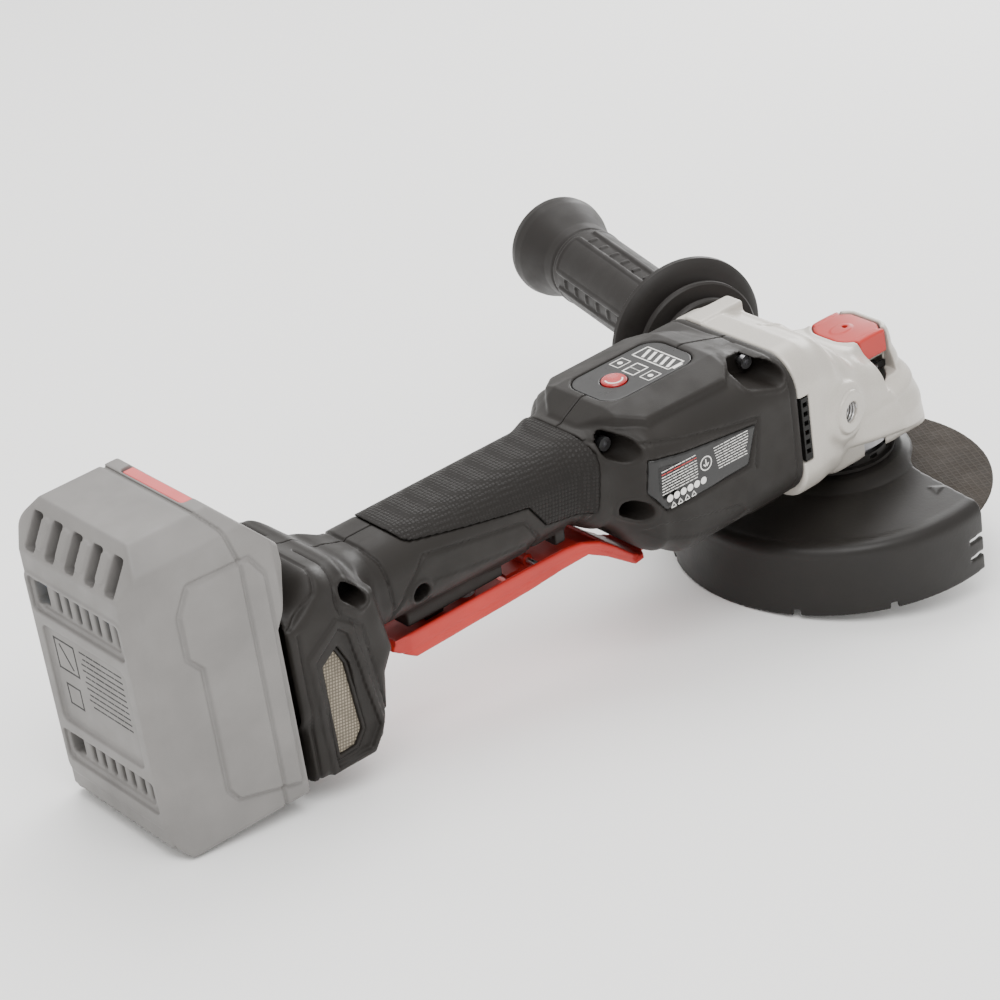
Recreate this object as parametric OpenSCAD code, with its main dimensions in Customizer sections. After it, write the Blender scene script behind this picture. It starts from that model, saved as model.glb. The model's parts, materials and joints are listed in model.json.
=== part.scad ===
// Cordless angle grinder, 125 mm disc.
// Every piece is drawn in the tool's own axes: the motor axis is X (nose forward), the spindle
// axis is Z and both meet at the origin, +Y is the side-handle side. stand() then sets the tool
// down on the guard rim and the battery's rear edge, with the origin at the bottom centre.

/* [Disc and guard] */
// Disc diameter
disc_d = 125; // [104:1:128]
// Disc thickness
disc_t = 1.6; // [1:0.2:3]
// Disc bore diameter
disc_bore = 22.23; // [20:0.01:25.4]
// Distance from the motor axis down to the disc's upper face
disc_drop = 57; // [55:0.5:70]
// Gap between the disc's rim and the guard's inner wall
guard_gap = 5.2; // [2:0.1:9]
// Guard sheet thickness
guard_wall = 1.8; // [1.2:0.1:2.4]
// How far the guard's skirt reaches below the disc's upper face
guard_reach = 19.4; // [14:0.2:26]
// Angle that the guard leaves open at the front
guard_open = 160; // [120:1:200]

/* [Gear head] */
// Teeth on the pinion
pinion_teeth = 9; // [8:1:12]
// Teeth on the bevel gear
gear_teeth = 31; // [26:1:36]
// Pitch radius of the bevel gear
gear_r = 20; // [18:0.1:21]
// Width of a tooth
tooth_w = 1.15; // [0.9:0.05:1.3]
// Radius of the neck that the guard turns on
neck_r = 20; // [18.5:0.1:22]
// Spindle thread diameter
thread_d = 14; // [12:1:16]
// Half width of the gear case and motor housing at their joint
case_hw = 36.5; // [35:0.1:40]
// Top of the gear case and motor housing at their joint
case_top = 33; // [32:0.5:38]
// Bottom of the motor housing
case_bottom = -27; // [-29:0.5:-26.5]

/* [Side handle] */
// Distance from the centre plane to the handle's seat
boss_y = 36.1; // [35:0.1:42]
// How far ahead or behind the spindle the handle's hole lies
boss_x = -22.4; // [-24:0.1:-20]
// Height of the handle's hole
boss_z = -2; // [-6:0.5:4]
// Angle that the side handle leans forward
handle_lean = 13.6; // [0:0.2:16]
// Length of the side handle from its seat
handle_len = 148; // [120:1:180]
// Grip radius
grip_r = 17; // [15:0.5:20]
// Radius of the end knob
knob_r = 22.7; // [20:0.1:26]
// Radius of the hand guard
hand_guard_r = 34; // [28:0.5:38]
// Diameter of the handle's stud
stud_d = 8; // [8:1:10]

/* [Main handle] */
// Half width of the main handle
grip_hw = 19.5; // [18.5:0.1:23]
// Top of the main handle
grip_top = 32; // [29:0.5:36]
// Where the motor housing ends, behind the spindle
barrel_end = 115; // [112:1:122]
// Where the main handle begins, behind the spindle
grip_start = 142; // [140:1:150]
// Where the foot's rear face is, behind the spindle
foot_end = 288; // [284:1:330]
// Wall of the clamshell
wall = 2.6; // [2:0.1:3.2]

/* [Battery] */
// Battery depth behind the foot
bat_depth = 55; // [50:1:60]
// Battery half width
bat_hw = 36; // [34.5:0.5:42]
// Battery bottom, from the motor axis
bat_bottom = -33; // [-36:0.5:-30]
// Battery top, from the motor axis
bat_top = 87; // [85:0.5:96]
// Battery wall
bat_wall = 2; // [1.5:0.1:2.5]

/* [Paddle] */
// Paddle half width
paddle_hw = 16; // [15:0.5:17]
// Paddle wall
paddle_wall = 2.2; // [1.8:0.1:2.6]

/* [Fits] */
// Radial running clearance of a shaft in its bearing
run = 0.05; // [0.02:0.01:0.08]
// Gap round pieces that sit in a recess
seat = 0.15; // [0.1:0.05:0.3]
// Gap round pieces that slide or swing past each other
slack = 0.5; // [0.4:0.05:0.8]

/* [Hidden] */
$fn = 64;
eps = 0.01;
disc_r = disc_d / 2;
disc_z = -disc_drop;
guard_in = disc_r + guard_gap;
guard_r = guard_in + guard_wall;
rim_z = disc_z - guard_reach;
bat_front = -foot_end - 4;
bat_rear = bat_front - bat_depth;
bat_edge = 7;
bat_shoulder = bat_top - 17;

// The tool rests on the rearmost point of the guard rim and the battery's lower rear edge.
tilt = atan((bat_bottom - rim_z) / (bat_rear + bat_edge + guard_r));
function level_x(x, z) = x * cos(tilt) + z * sin(tilt);
function level_z(x, z) = z * cos(tilt) - x * sin(tilt);
floor_z = level_z(-guard_r, rim_z);
knob_round = 4;
side_reach = boss_y + (handle_len - knob_round) * cos(handle_lean)
    + (knob_r - knob_round) * sin(handle_lean) + knob_round;
mid_x = (level_x(bat_rear, bat_shoulder) + level_x(disc_r, disc_z - disc_t)) / 2;
mid_y = (side_reach - guard_r) / 2;

module stand() {
    translate([-mid_x, -mid_y, -floor_z]) rotate([0, tilt, 0]) children();
}

// ---------- helpers ----------

// Sweeps a Y-Z outline along X, from x0 to x1
module along_x(x0, x1) {
    translate([x0, 0, 0]) rotate([90, 0, 90]) linear_extrude(x1 - x0) children();
}
// Sweeps an X-Z outline along Y, from y0 to y1
module along_y(y0, y1) {
    translate([0, y1, 0]) rotate([90, 0, 0]) linear_extrude(y1 - y0) children();
}
// Rounded rectangle from z0 to z1, half width hw
module section(hw, z0, z1, r) {
    translate([-hw + r, z0]) square([2 * (hw - r), z1 - z0]);
    translate([-hw, z0 + r]) square([2 * hw, z1 - z0 - 2 * r]);
    for (y = [-hw + r, hw - r]) for (z = [z0 + r, z1 - r]) translate([y, z]) circle(r);
}
module rod_x(x0, x1, r) { translate([x0, 0, 0]) rotate([0, 90, 0]) cylinder(h = x1 - x0, r = r); }
module rod_z(z0, z1, r) { translate([0, 0, z0]) cylinder(h = z1 - z0, r = r); }
module rod_y(x, z, y0, y1, r) { translate([x, y1, z]) rotate([90, 0, 0]) cylinder(h = y1 - y0, r = r); }
module ring_x(x0, x1, ro, ri) { difference() { rod_x(x0, x1, ro); rod_x(x0 - 1, x1 + 1, ri); } }
module ring_z(z0, z1, ro, ri) { difference() { rod_z(z0, z1, ro); rod_z(z0 - 1, z1 + 1, ri); } }
// Box from two corners
module box(a, b) { translate(a) cube(b - a); }
// Close-wound coil on Z
module coil(r, wire, turns) {
    rotate_extrude() for (i = [0:turns - 1]) translate([r, (i + 0.5) * wire * 0.9]) circle(wire / 2,
        $fn = 16);
}
// Ball bearing on X or Z, drawn as one sealed unit
module bearing(w, ro, ri) {
    difference() {
        cylinder(h = w, r = ro);
        translate([0, 0, -1]) cylinder(h = w + 2, r = ri);
        for (z = [-1, w - 0.4]) translate([0, 0, z]) difference() {
            cylinder(h = 1.4, r = ro - (ro - ri) * 0.22);
            translate([0, 0, -1]) cylinder(h = 4, r = ri + (ro - ri) * 0.25);
        }
    }
}

// ---------- clamshell housing ----------

case_front = -50;
// where the grip begins to widen into the foot
neck_x = -foot_end + 50;
grip_low = -2;
keel_low = -7;
keel_hw = 12.5;
foot_hw = bat_hw - 2;
foot_low = bat_bottom + 1;
dome_top = 40;
case_round = 15;
panel_hw = 14;
panel_x = [-123, -74];

// X-Z side outline of the battery foot, shrunk by i
module foot_side(i) {
    polygon([
        [-foot_end + i, foot_low + i], [neck_x - 20 - i, foot_low + i], [neck_x - 13 - i, foot_low + 9 + i],
        [neck_x - 11 - i, grip_low - 4], [neck_x - 8 - i, grip_top + 4 - i], [neck_x - 24, grip_top + 12 - i],
        [neck_x - 34, grip_top + 15 - i],
        [-foot_end + i, 35 - i]
    ]);
}
// The housing's solid outline, shrunk by i
module body_shape(i) {
    along_x(-barrel_end + (i > 0 ? 0 : -eps), case_front + (i > 0 ? 1 : 0))
        section(case_hw - i, case_bottom + i, case_top - i, case_round - i);
    hull() {
        along_x(-barrel_end - 1, -barrel_end + eps)
            section(case_hw - i, case_bottom + i, case_top - i, case_round - i, $fn = 32);
        along_x(-grip_start, -grip_start + 1)
            section(grip_hw - i, grip_low + i, grip_top - i, 14 - i, $fn = 32);
    }
    along_x(neck_x, -grip_start + eps) section(grip_hw - i, grip_low + i, grip_top - i, 14 - i);
    if (i == 0) along_x(paddle_rear + 8, -150) translate([-keel_hw, keel_low]) square([2 * keel_hw, 12]);
    hull() {
        along_x(neck_x + 1, neck_x + 2) section(grip_hw - i, grip_low + i, grip_top - i, 14 - i, $fn = 32);
        along_x(neck_x - 16, neck_x - 15) section(foot_hw - 3 - i, grip_low - 8 + i, grip_top + 8 - i,
            12 - i, $fn = 32);
    }
    intersection() {
        along_x(-foot_end, neck_x - 2) section(foot_hw - i, foot_low + i, 50, 8 - i);
        along_y(-foot_hw, foot_hw) foot_side(i);
    }
    // raised control dome on top of the motor
    hull() {
        along_x(panel_x[0] - 2, panel_x[1] + 4) section(panel_hw + 5 - i, case_top - 8, dome_top - 2 - i,
            3, $fn = 32);
        along_x(-116, -56) section(28 - i, case_top - 12, case_top - 1 - i, 3, $fn = 32);
        along_x(-137, -136) section(15 - i, grip_top - 12, grip_top - 0.5 - i, 3, $fn = 32);
    }
    // pad under the front of the motor
    along_x(-66, case_front + (i > 0 ? 1 : 0)) section(24 - i, case_bottom - 6 + i, 0, 10 - i);
}
// [x, z] of each housing screw
screw_at = [
    [neck_x - 19, grip_top - 2], [neck_x + 16, 9], [-barrel_end - 14, case_top - 7],
    [case_front - 8, case_top - 3], [-barrel_end - 13, 1], [neck_x - 27, foot_low + 8]
];
screw_boss_r = 4.4;
screw_r = 1.5;
well_r = 3.4;
// half width of the housing's flat side near a screw
function half_width_at(x) = x > -barrel_end ? case_hw - 6.5
    : x > -grip_start - 8 ? case_hw - 10.5 : x > neck_x ? grip_hw - 2.5 : foot_hw - 4;
bearing_x = -barrel_end + 1;
stator_front = -70;
stator_rear = -barrel_end + 12;
stator_r = 24;

module housing_shell() {
    difference() {
        union() {
            difference() {
                body_shape(0);
                body_shape(wall);
            }
            intersection() {
                union() {
                    for (s = screw_at) rod_y(s[0], s[1], -40, 40, screw_boss_r);
                    // walls that hold the stator and the rear bearing
                    for (x = [stator_rear + 3, stator_front - 6]) along_x(x, x + 3) square([120, 120],
                        center = true);
                    along_x(bearing_x - 1, bearing_x + 7) square([60, 120], center = true);
                }
                body_core();
            }
            pivot_ears();
        }
        rod_x(stator_rear - 1, case_front + 2, stator_r + seat);
        rod_x(bearing_x - eps, bearing_x + 8, 9.5 + seat);
        rod_x(bearing_x - 3, bearing_x + 1, 6);
        for (s = screw_at) rod_y(s[0], s[1], -41, 41, screw_r + seat);
        for (s = screw_at) rod_y(s[0], s[1], -41, -half_width_at(s[0]) * 0.55, well_r);
        paddle_pocket();
        filter_window();
        panel_pocket();
        lock_cable_way();
    }
}
// The housing outline used to trim its inner ribs
module body_core() {
    along_x(-barrel_end, case_front) section(case_hw - 1, case_bottom + 1, case_top - 1, case_round - 1);
    along_x(-barrel_end - 18.5, -barrel_end) section(grip_hw + 5, grip_low - 7.5, grip_top - 1, 12);
    along_x(-grip_start, -barrel_end - 18) section(grip_hw, grip_low + 2, grip_top - 1, 14);
    along_x(neck_x, -grip_start) section(grip_hw - 1, grip_low + 1, grip_top - 1, 13);
    intersection() {
        along_x(-foot_end + 1, neck_x - 2) section(foot_hw - 1, foot_low + 1, 50, 7);
        along_y(-foot_hw, foot_hw) foot_side(1);
    }
}
module paddle_pocket() {
    // slot for the switch plunger and the lock-off lever
    box([-214, -5, keel_low - 1], [-200, 5, grip_low + wall + 1]);
    box([-181, -keel_hw - 1, keel_low - 1], [-155, keel_hw + 1, grip_low]);
    // room for the paddle's front pivot
    box([pivot_x - 4.5, -7, case_bottom - 7], [pivot_x + 4.5, 7, case_bottom + wall - 1]);
    rod_y(pivot_x, pivot_z, -12, 12, 1.5 + seat);
}
module filter_window() {
    for (s = [-1, 1]) mirror([0, s < 0 ? 1 : 0, 0]) along_y(foot_hw - 3.5, foot_hw + 1) filter_outline(0);
}
// Ears that carry the paddle's pivot pin
module pivot_ears() {
    for (s = [-1, 1]) mirror([0, s < 0 ? 1 : 0, 0]) {
        rod_y(pivot_x, pivot_z, 7.5, 12, 3.4);
        box([pivot_x - 3.4, 7.5, pivot_z], [pivot_x + 3.4, 12, case_bottom + 1]);
    }
}
// Outline of the dust filter's window in the side of the foot, grown by g
module filter_outline(g) {
    polygon([
        [neck_x - 43 - g, foot_low + 10 - g], [neck_x - 30 + g, foot_low + 6 - g], [neck_x - 24 + g,
            foot_low + 14],
        [neck_x - 28 + g, 16], [neck_x - 34, 24 + g], [neck_x - 43 - g, 15]
    ]);
}
module panel_pocket() {
    // flat seat for the control panel, and the button's hole
    along_x(panel_x[0], panel_x[1]) translate([-panel_hw, dome_top - 2.8]) square([2 * panel_hw, 6]);
    rod_z_at(button_x, 0, dome_top - 14, dome_top, button_r + slack);
}
module rod_z_at(x, y, z0, z1, r) { translate([x, y, z0]) cylinder(h = z1 - z0, r = r); }
module lock_cable_way() {
    // passage for the wires between the motor and the handle
    rod_x(-150, -barrel_end + 2, 5);
}
button_x = -108;
button_r = 5;
pivot_x = -75;
pivot_z = case_bottom - 2;

module housing_left() {
    color("#2b2826") intersection() {
        housing_shell();
        box([-400, 0, -60], [0, 60, 80]);
    }
}
module housing_right() {
    color("#2b2826") intersection() {
        housing_shell();
        box([-400, -60, -60], [0, 0, 80]);
    }
}
module housing_screws() {
    color("#3a3a3c") for (s = screw_at) {
        y0 = -half_width_at(s[0]) * 0.55;
        rod_y(s[0], s[1], y0, y0 + 16, screw_r);
        difference() {
            rod_y(s[0], s[1], y0 - 2, y0, 2.8);
            rod_y(s[0], s[1], y0 - 3, y0 - 0.8, 1.2, $fn = 6);
        }
    }
}
module rubber_grip() {
    color("#262423") difference() {
        along_x(neck_x + 20, -grip_start - 4) section(grip_hw + 1, grip_low - 1, grip_top + 1, 15);
        along_x(neck_x + 19, -grip_start - 3) section(grip_hw, grip_low, grip_top, 14);
        box([-230, -40, -20], [-130, 40, 12]);
        // the cover ends in a slope at each side
        along_y(-40, 40) polygon([[neck_x + 19, 12], [neck_x + 38, 12], [neck_x + 19, 26]]);
    }
}
module control_panel() {
    color("#191818") difference() {
        along_x(panel_x[0] + seat, panel_x[1] - seat) translate([-panel_hw + seat, dome_top - 2.8])
            square([2 * (panel_hw - seat), 1.4]);
        rod_z_at(button_x, 0, dome_top - 5, dome_top + 1, button_r + slack);
    }
}
module power_button() {
    color("#b3161c") {
        rod_z_at(button_x, 0, dome_top - 7, dome_top - 0.8, button_r);
        rod_z_at(button_x, 0, dome_top - 7, dome_top - 6, button_r + slack + 0.7);
    }
}
module rating_plate() {
    color("#141313") along_y(-case_hw - 0.2, -case_hw)
        polygon([[-112, -6], [-84, -6], [-73, 4], [-73, 16], [-112, 18]]);
}
// side: 1 is the left side, -1 the right
module filter_frame(side) {
    y0 = foot_hw - 3;
    mirror([0, side < 0 ? 1 : 0, 0]) difference() {
        along_y(y0, foot_hw - 0.3) filter_outline(-seat);
        along_y(y0 - 1, foot_hw + 1) filter_outline(-2.2);
    }
}
module filter_mesh(side) {
    mirror([0, side < 0 ? 1 : 0, 0]) along_y(foot_hw - 2.6, foot_hw - 1.4) filter_outline(-2.4);
}
module filter_frame_left() { color("#2b2826") filter_frame(1); }
module filter_frame_right() { color("#2b2826") filter_frame(-1); }
module filter_mesh_left() { color("#a9a08c") filter_mesh(1); }
module filter_mesh_right() { color("#a9a08c") filter_mesh(-1); }

// ---------- battery rail on the foot ----------

rail_neck = 21;
rail_head = 26;
rail_low = foot_low + 3;
rail_high = 30;
module rail_section(g) {
    // X-Y outline, head towards the battery
    translate([-foot_end - 8 - g, -rail_head - g]) square([4 + 2 * g, 2 * (rail_head + g)]);
    translate([-foot_end - 5, -rail_neck - g]) square([5, 2 * (rail_neck + g)]);
}
module battery_rail() {
    color("#232120") difference() {
        translate([0, 0, rail_low]) linear_extrude(rail_high - rail_low) rail_section(0);
        for (y = blade_y) box([-foot_end - 9, y - 0.6, blade_low - 0.2], [-foot_end + 1, y + 0.6,
            blade_high + 0.2]);
    }
}
blade_y = [-15, -5, 5, 15];
blade_low = 2;
blade_high = 18;
module tool_terminals() {
    color("#c9a14a") for (y = blade_y)
        box([-foot_end - 12, y - 0.4, blade_low], [-foot_end - 0.2, y + 0.4, blade_high]);
}

// ---------- gear head ----------

head_low = -31;
head_r = 29;
cavity_r = gear_r + 3;
box_r = 24;
tunnel_r = 12.5;
head_top = 7;
lean_out = [sin(handle_lean), cos(handle_lean)];

// Puts children on the side handle's axis: +Z is outward, 0 at the seat
module on_handle_axis(side) {
    translate([boss_x, side * boss_y, boss_z]) rotate([0, 0, side > 0 ? -handle_lean : handle_lean + 180])
        rotate([-90, 0, 0]) children();
}
module gear_case_outer() {
    // rear flange
    along_x(case_front, -41) section(case_hw, case_bottom - 4, case_top, case_round);
    // loft from the flange to the head
    hull() {
        along_x(-42, -41) section(case_hw, case_bottom - 4, case_top, case_round, $fn = 32);
        along_x(-20, -19) section(30, head_low, 22, 16, $fn = 32);
    }
    hull() {
        along_x(-20, -19) section(30, head_low, 22, 16, $fn = 32);
        translate([0, 0, head_low]) cylinder(h = 22, r = head_r, $fn = 32);
        translate([6, 0, 0]) cylinder(h = head_top + 2, r1 = 20, r2 = 15, $fn = 32);
    }
    // nose
    hull() {
        translate([6, 0, -2]) cylinder(h = 6, r = 20, $fn = 32);
        translate([5, 0, head_low + 2]) cylinder(h = 12, r = head_r + 2, $fn = 32);
    }
    rod_z(head_low - 3, head_low + 1, box_r + 2.5);
    // seats of the side handle
    for (s = [-1, 1]) on_handle_axis(s) {
        translate([0, 0, -14]) cylinder(h = 13, r = 11);
        translate([0, 0, -2]) cylinder(h = 2, r = 8.6);
    }
}
module gear_case() {
    color("#b9b7b2") difference() {
        gear_case_outer();
        // gear cavity, bearing-box seat and motor tunnel
        rod_z(head_low - 4, -3, cavity_r);
        rod_z(head_low - 4, head_low + 11 + seat, box_r + seat);
        rod_z(-4, 0.6, 8 + seat);
        rod_z(-4, 1.2, 5.6);
        rod_x(-44, -26, tunnel_r);
        along_x(-51, -44) section(case_hw - 5, case_bottom + 1, case_top - 5, case_round - 5);
        // pinion room
        rod_x(-30, -12.5, 8.5);
        // threaded seats of the side handle
        for (s = [-1, 1]) on_handle_axis(s) translate([0, 0, -13]) cylinder(h = 14, r = stud_d / 2 + run);
        // lock button's well, pin hole and shoulder
        lock_well();
        // side vents
        for (s = [-1, 1]) mirror([0, s < 0 ? 1 : 0, 0]) box([-48.5, case_hw - 6, -12], [-44.5,
            case_hw + 1, 15]);
        // screw holes into the housing and the bearing box
        for (p = case_screw_at) translate([0, p[0], p[1]]) rod_x(-52, -36, 1.7 + seat);
        for (p = case_screw_at) translate([0, p[0], p[1]]) rod_x(-39, -20, 3.2);
        for (a = [45:90:315]) rotate([0, 0, a]) translate([box_pcd / 2, 0, head_low + 10])
            cylinder(h = 8, r = 1.5 + seat);
        // guard lever's slot and pin
        lever_slot();
    }
}
case_screw_at = [[-24, 22], [24, 22], [-24, -19], [24, -19]];
box_pcd = 40;
module gear_case_screws() {
    color("#8d8d8f") for (p = case_screw_at) translate([0, p[0], p[1]]) {
        rod_x(-49.5, -39, 1.7);
        difference() {
            rod_x(-39, -36.2, 2.9);
            rod_x(-37.5, -36, 1.4, $fn = 6);
        }
    }
}
module vent_grilles() {
    color("#242220") for (s = [-1, 1]) mirror([0, s < 0 ? 1 : 0, 0]) difference() {
        box([-48.5 + seat, case_hw - 4.6, -12 + seat], [-44.5 - seat, case_hw - 0.6, 15 - seat]);
        for (z = [-9:4:11]) box([-47.6, case_hw - 20, z], [-45.4, case_hw + 1, z + 2]);
    }
}
module inner_cover() {
    color("#77767a") difference() {
        union() {
            along_x(-49.5, -45) section(case_hw - 5 - seat, case_bottom + 1 + seat, case_top - 5 - seat,
                case_round - 5 - seat);
            rod_x(-46, -37, tunnel_r - seat);
        }
        rod_x(-44, -36.9, 11 + seat);
        rod_x(-51, -36, 7);
        for (p = case_screw_at) translate([0, p[0], p[1]]) rod_x(-52, -36, 1.7 + seat);
        for (s = [-1, 1]) box([-52, s * 26 - 4, -15], [-44, s * 26 + 4, 13]);
    }
}

// ---------- motor ----------

shaft_r = 4;
rotor_r = 13;
module front_bearing() { color("#9a9a9e") translate([-44, 0, 0]) rotate([0, 90, 0]) bearing(7, 11,
    shaft_r + run); }
module rear_bearing() { color("#9a9a9e") translate([bearing_x, 0, 0]) rotate([0, 90, 0]) bearing(6, 9.5,
    shaft_r - 1 + run); }
module stator_core() {
    color("#6f6c68") difference() {
        rod_x(stator_rear, stator_front, stator_r);
        rod_x(stator_rear - 1, stator_front + 1, rotor_r + 0.6);
        for (a = [0:60:300]) rotate([a, 0, 0]) along_x(stator_rear - 1, stator_front + 1)
            polygon([[-2, 15.2], [2, 15.2], [5.8, 21.2], [-5.8, 21.2]]);
        for (a = [0:60:300]) rotate([a, 0, 0]) along_x(stator_rear - 1, stator_front + 1)
            translate([-0.8, 12]) square([1.6, 4]);
    }
}
module stator_windings() {
    color("#9c5a2c") for (a = [0:60:300]) rotate([a, 0, 0]) difference() {
        along_x(stator_rear - 4, stator_front + 4) polygon([[-1.4, 15.8], [1.4, 15.8], [4.9, 20.8],
            [-4.9, 20.8]]);
        along_x(stator_rear - 5, stator_front + 5) translate([-0.25, 15]) square([0.5, 8]);
    }
}
module rotor_core() {
    color("#5d5b5b") difference() {
        rod_x(stator_rear, stator_front, rotor_r);
        rod_x(stator_rear - 1, stator_front + 1, shaft_r);
        for (a = [45:90:315]) rotate([a, 0, 0]) along_x(stator_rear - 1, stator_front + 1)
            translate([-5, 8.6]) square([10, 1.6]);
    }
}
module rotor_shaft() {
    color("#a4a4a8") {
        rod_x(bearing_x, bearing_x + 7, shaft_r - 1);
        rod_x(bearing_x + 7, -22, shaft_r);
    }
}
module fan() {
    color("#1f1e1e") {
        difference() {
            union() {
                rod_x(-56, -54.4, 23.5);
                rod_x(-64, -54.4, 8);
            }
            rod_x(-65, -54, shaft_r);
        }
        difference() {
            for (a = [0:30:330]) rotate([a, 0, 0]) box([-63, -0.8, 7.5], [-55.9, 0.8, 23]);
            rod_x(-65, -54, shaft_r);
        }
    }
}

// ---------- bevel gears, cut as straight teeth on cones whose tips meet at the origin ----------

gear_in = gear_r * 0.7;
pinion_r = gear_r * pinion_teeth / gear_teeth;
cone = atan(pinion_teeth / gear_teeth);
addendum = 0.8;
dedendum = 1.3;
face_out = gear_r / cos(cone);
face_in = gear_in / cos(cone);
// one straight tooth, lying along the pitch cone
module tooth() { box([face_in, -tooth_w / 2, -dedendum - 0.6], [face_out, tooth_w / 2, addendum]); }
module bevel_gear() {
    color("#8b8b90") difference() {
        union() {
            // toothed face on top: teeth rise towards the apex side
            for (i = [0:gear_teeth - 1]) rotate([0, 0, (i + 0.5) * 360 / gear_teeth]) rotate([0, cone, 0])
                tooth();
            rotate_extrude() polygon([
                [5, -16], [11, -16], [13, -12], [gear_r - 1, -11],
                [gear_r + 0.2, -pinion_r - dedendum * cos(cone) - 0.4],
                [gear_in - 0.4, -gear_in * tan(cone) - dedendum * cos(cone) - 0.4],
                [10, -7.5], [5, -7.5]
            ]);
        }
        rod_z(-20, 0, 6 + eps);
        // holes that the lock pin drops into
        for (a = [0:60:300]) rotate([0, 0, a]) translate([lock_r, 0, -20]) cylinder(h = 30, r = 2.1);
    }
}
module pinion() {
    color("#97979c") difference() {
        union() {
            for (i = [0:pinion_teeth - 1]) rotate([i * 360 / pinion_teeth, 0, 0])
                rotate([0, cone, 0]) mirror([1, 0, 0]) tooth();
            rotate([0, -90, 0]) rotate_extrude() polygon([
                [0, gear_in + 0.3], [0, gear_r + 5], [5, gear_r + 5], [5, gear_r + 0.2],
                [pinion_r - dedendum - 0.1, gear_r + 0.2],
                [pinion_r * 0.7 - dedendum - 0.1, gear_in + 0.3]
            ]);
        }
        rod_x(-40, -22, shaft_r);
    }
}

// ---------- spindle ----------

lower_z = head_low;
thread_r = thread_d / 2;
nut_t = 7.5;
spindle_end = disc_z - disc_t - nut_t - 2.5;
flange_t = 6;
module spindle() {
    color("#a6a6aa") {
        rod_z(spindle_end, disc_z + flange_t - 3, thread_r);
        rod_z(disc_z + flange_t - 3, lower_z, 8);
        rod_z(lower_z, -7.5, 6);
        rod_z(-7.5, 0.4, 5);
    }
}
module upper_bearing() { color("#9a9a9e") translate([0, 0, -4.6]) bearing(5, 8, 5 + run); }
module lower_bearing() { color("#9a9a9e") translate([0, 0, lower_z]) bearing(10, 16, 6 + run); }
module bearing_box() {
    color("#b0aeaa") difference() {
        union() {
            rod_z(head_low, head_low + 11, box_r);
            rod_z(neck_low, head_low + 1, neck_r);
        }
        rod_z(head_low - eps, head_low + 12, 16 + seat);
        rod_z(neck_low - 1, head_low + 1, 11);
        for (a = [45:90:315]) rotate([0, 0, a]) translate([box_pcd / 2, 0, head_low - 1])
            cylinder(h = 14, r = 1.5 + seat);
        for (a = [45:90:315]) rotate([0, 0, a]) translate([box_pcd / 2, 0, neck_low - 1])
            cylinder(h = head_low - neck_low + 4, r = 3);
    }
}
neck_low = -46;
module bearing_box_screws() {
    color("#8d8d8f") for (a = [45:90:315]) rotate([0, 0, a]) translate([box_pcd / 2, 0, 0]) {
        rod_z(head_low + 3, head_low + 16, 1.5);
        rod_z(head_low + 1, head_low + 3, 2.7);
    }
}
module dust_seal() { color("#1c1c1c") ring_z(neck_low + 2, neck_low + 8, 11 - seat / 3, 8 + run); }

// ---------- spindle lock ----------

lock_r = 16.5;
button_top = head_top + 2.4;
button_travel = 2.5;
gear_tip_z = -lock_r * tan(cone) + addendum / cos(cone);
module lock_outline(g) {
    // rounded button seen from above
    translate([14, 0]) circle(9 + g);
    translate([3, -9 - g]) square([11, 18 + 2 * g]);
    translate([3, 0]) square([2 * 3 + 2 * g, 18 + 2 * g], center = true);
}
module lock_well() {
    translate([0, 0, head_top - 4.5]) linear_extrude(20) lock_outline(slack);
    translate([lock_r, 0, -12]) cylinder(h = 30, r = 2 + 2 * run);
}
module lock_button() {
    color("#c8242b") difference() {
        translate([0, 0, head_top - 1.5]) linear_extrude(button_top - head_top + 1.5) lock_outline(0);
        rod_z_at(11, 0, button_top - 0.6, button_top + 1, 1);
        rod_z_at(lock_r, 0, head_top - 2, head_top + 0.5, 3.4);
    }
}
module lock_pin() {
    color("#9a9a9e") rod_z_at(lock_r, 0, gear_tip_z + button_travel + slack, head_top + 0.5, 2);
}
module lock_spring() {
    color("#7d7d80") translate([lock_r, 0, head_top - 4.4]) coil(2.65, 0.6, 1);
}

// ---------- guard ----------

collar_top = head_low - 3.4;
collar_wall = 2;
collar_low = -38;
// Half section of the guard: hub, cone, rounded shoulder and skirt
module guard_profile() {
    r0 = neck_r + 0.35;
    t = guard_wall;
    hub_z = collar_low - 1;
    sh = 5;
    polygon(concat(
        [[r0, hub_z], [r0 + 5.2, hub_z], [r0 + 7.6, hub_z - 1.2]],
        [for (a = [80:-20:0]) [guard_r - sh + sh * cos(a), shoulder_z - sh + sh * sin(a)]],
        [[guard_r, rim_z], [guard_in, rim_z]],
        [for (a = [0:20:80]) [guard_r - sh + (sh - t) * cos(a), shoulder_z - sh + (sh - t) * sin(a)]],
        [[r0 + 7.2, hub_z - 1.2 - t], [r0 + 5, hub_z - t], [r0, hub_z - t]]
    ));
}
shoulder_z = collar_low - 9;
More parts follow.
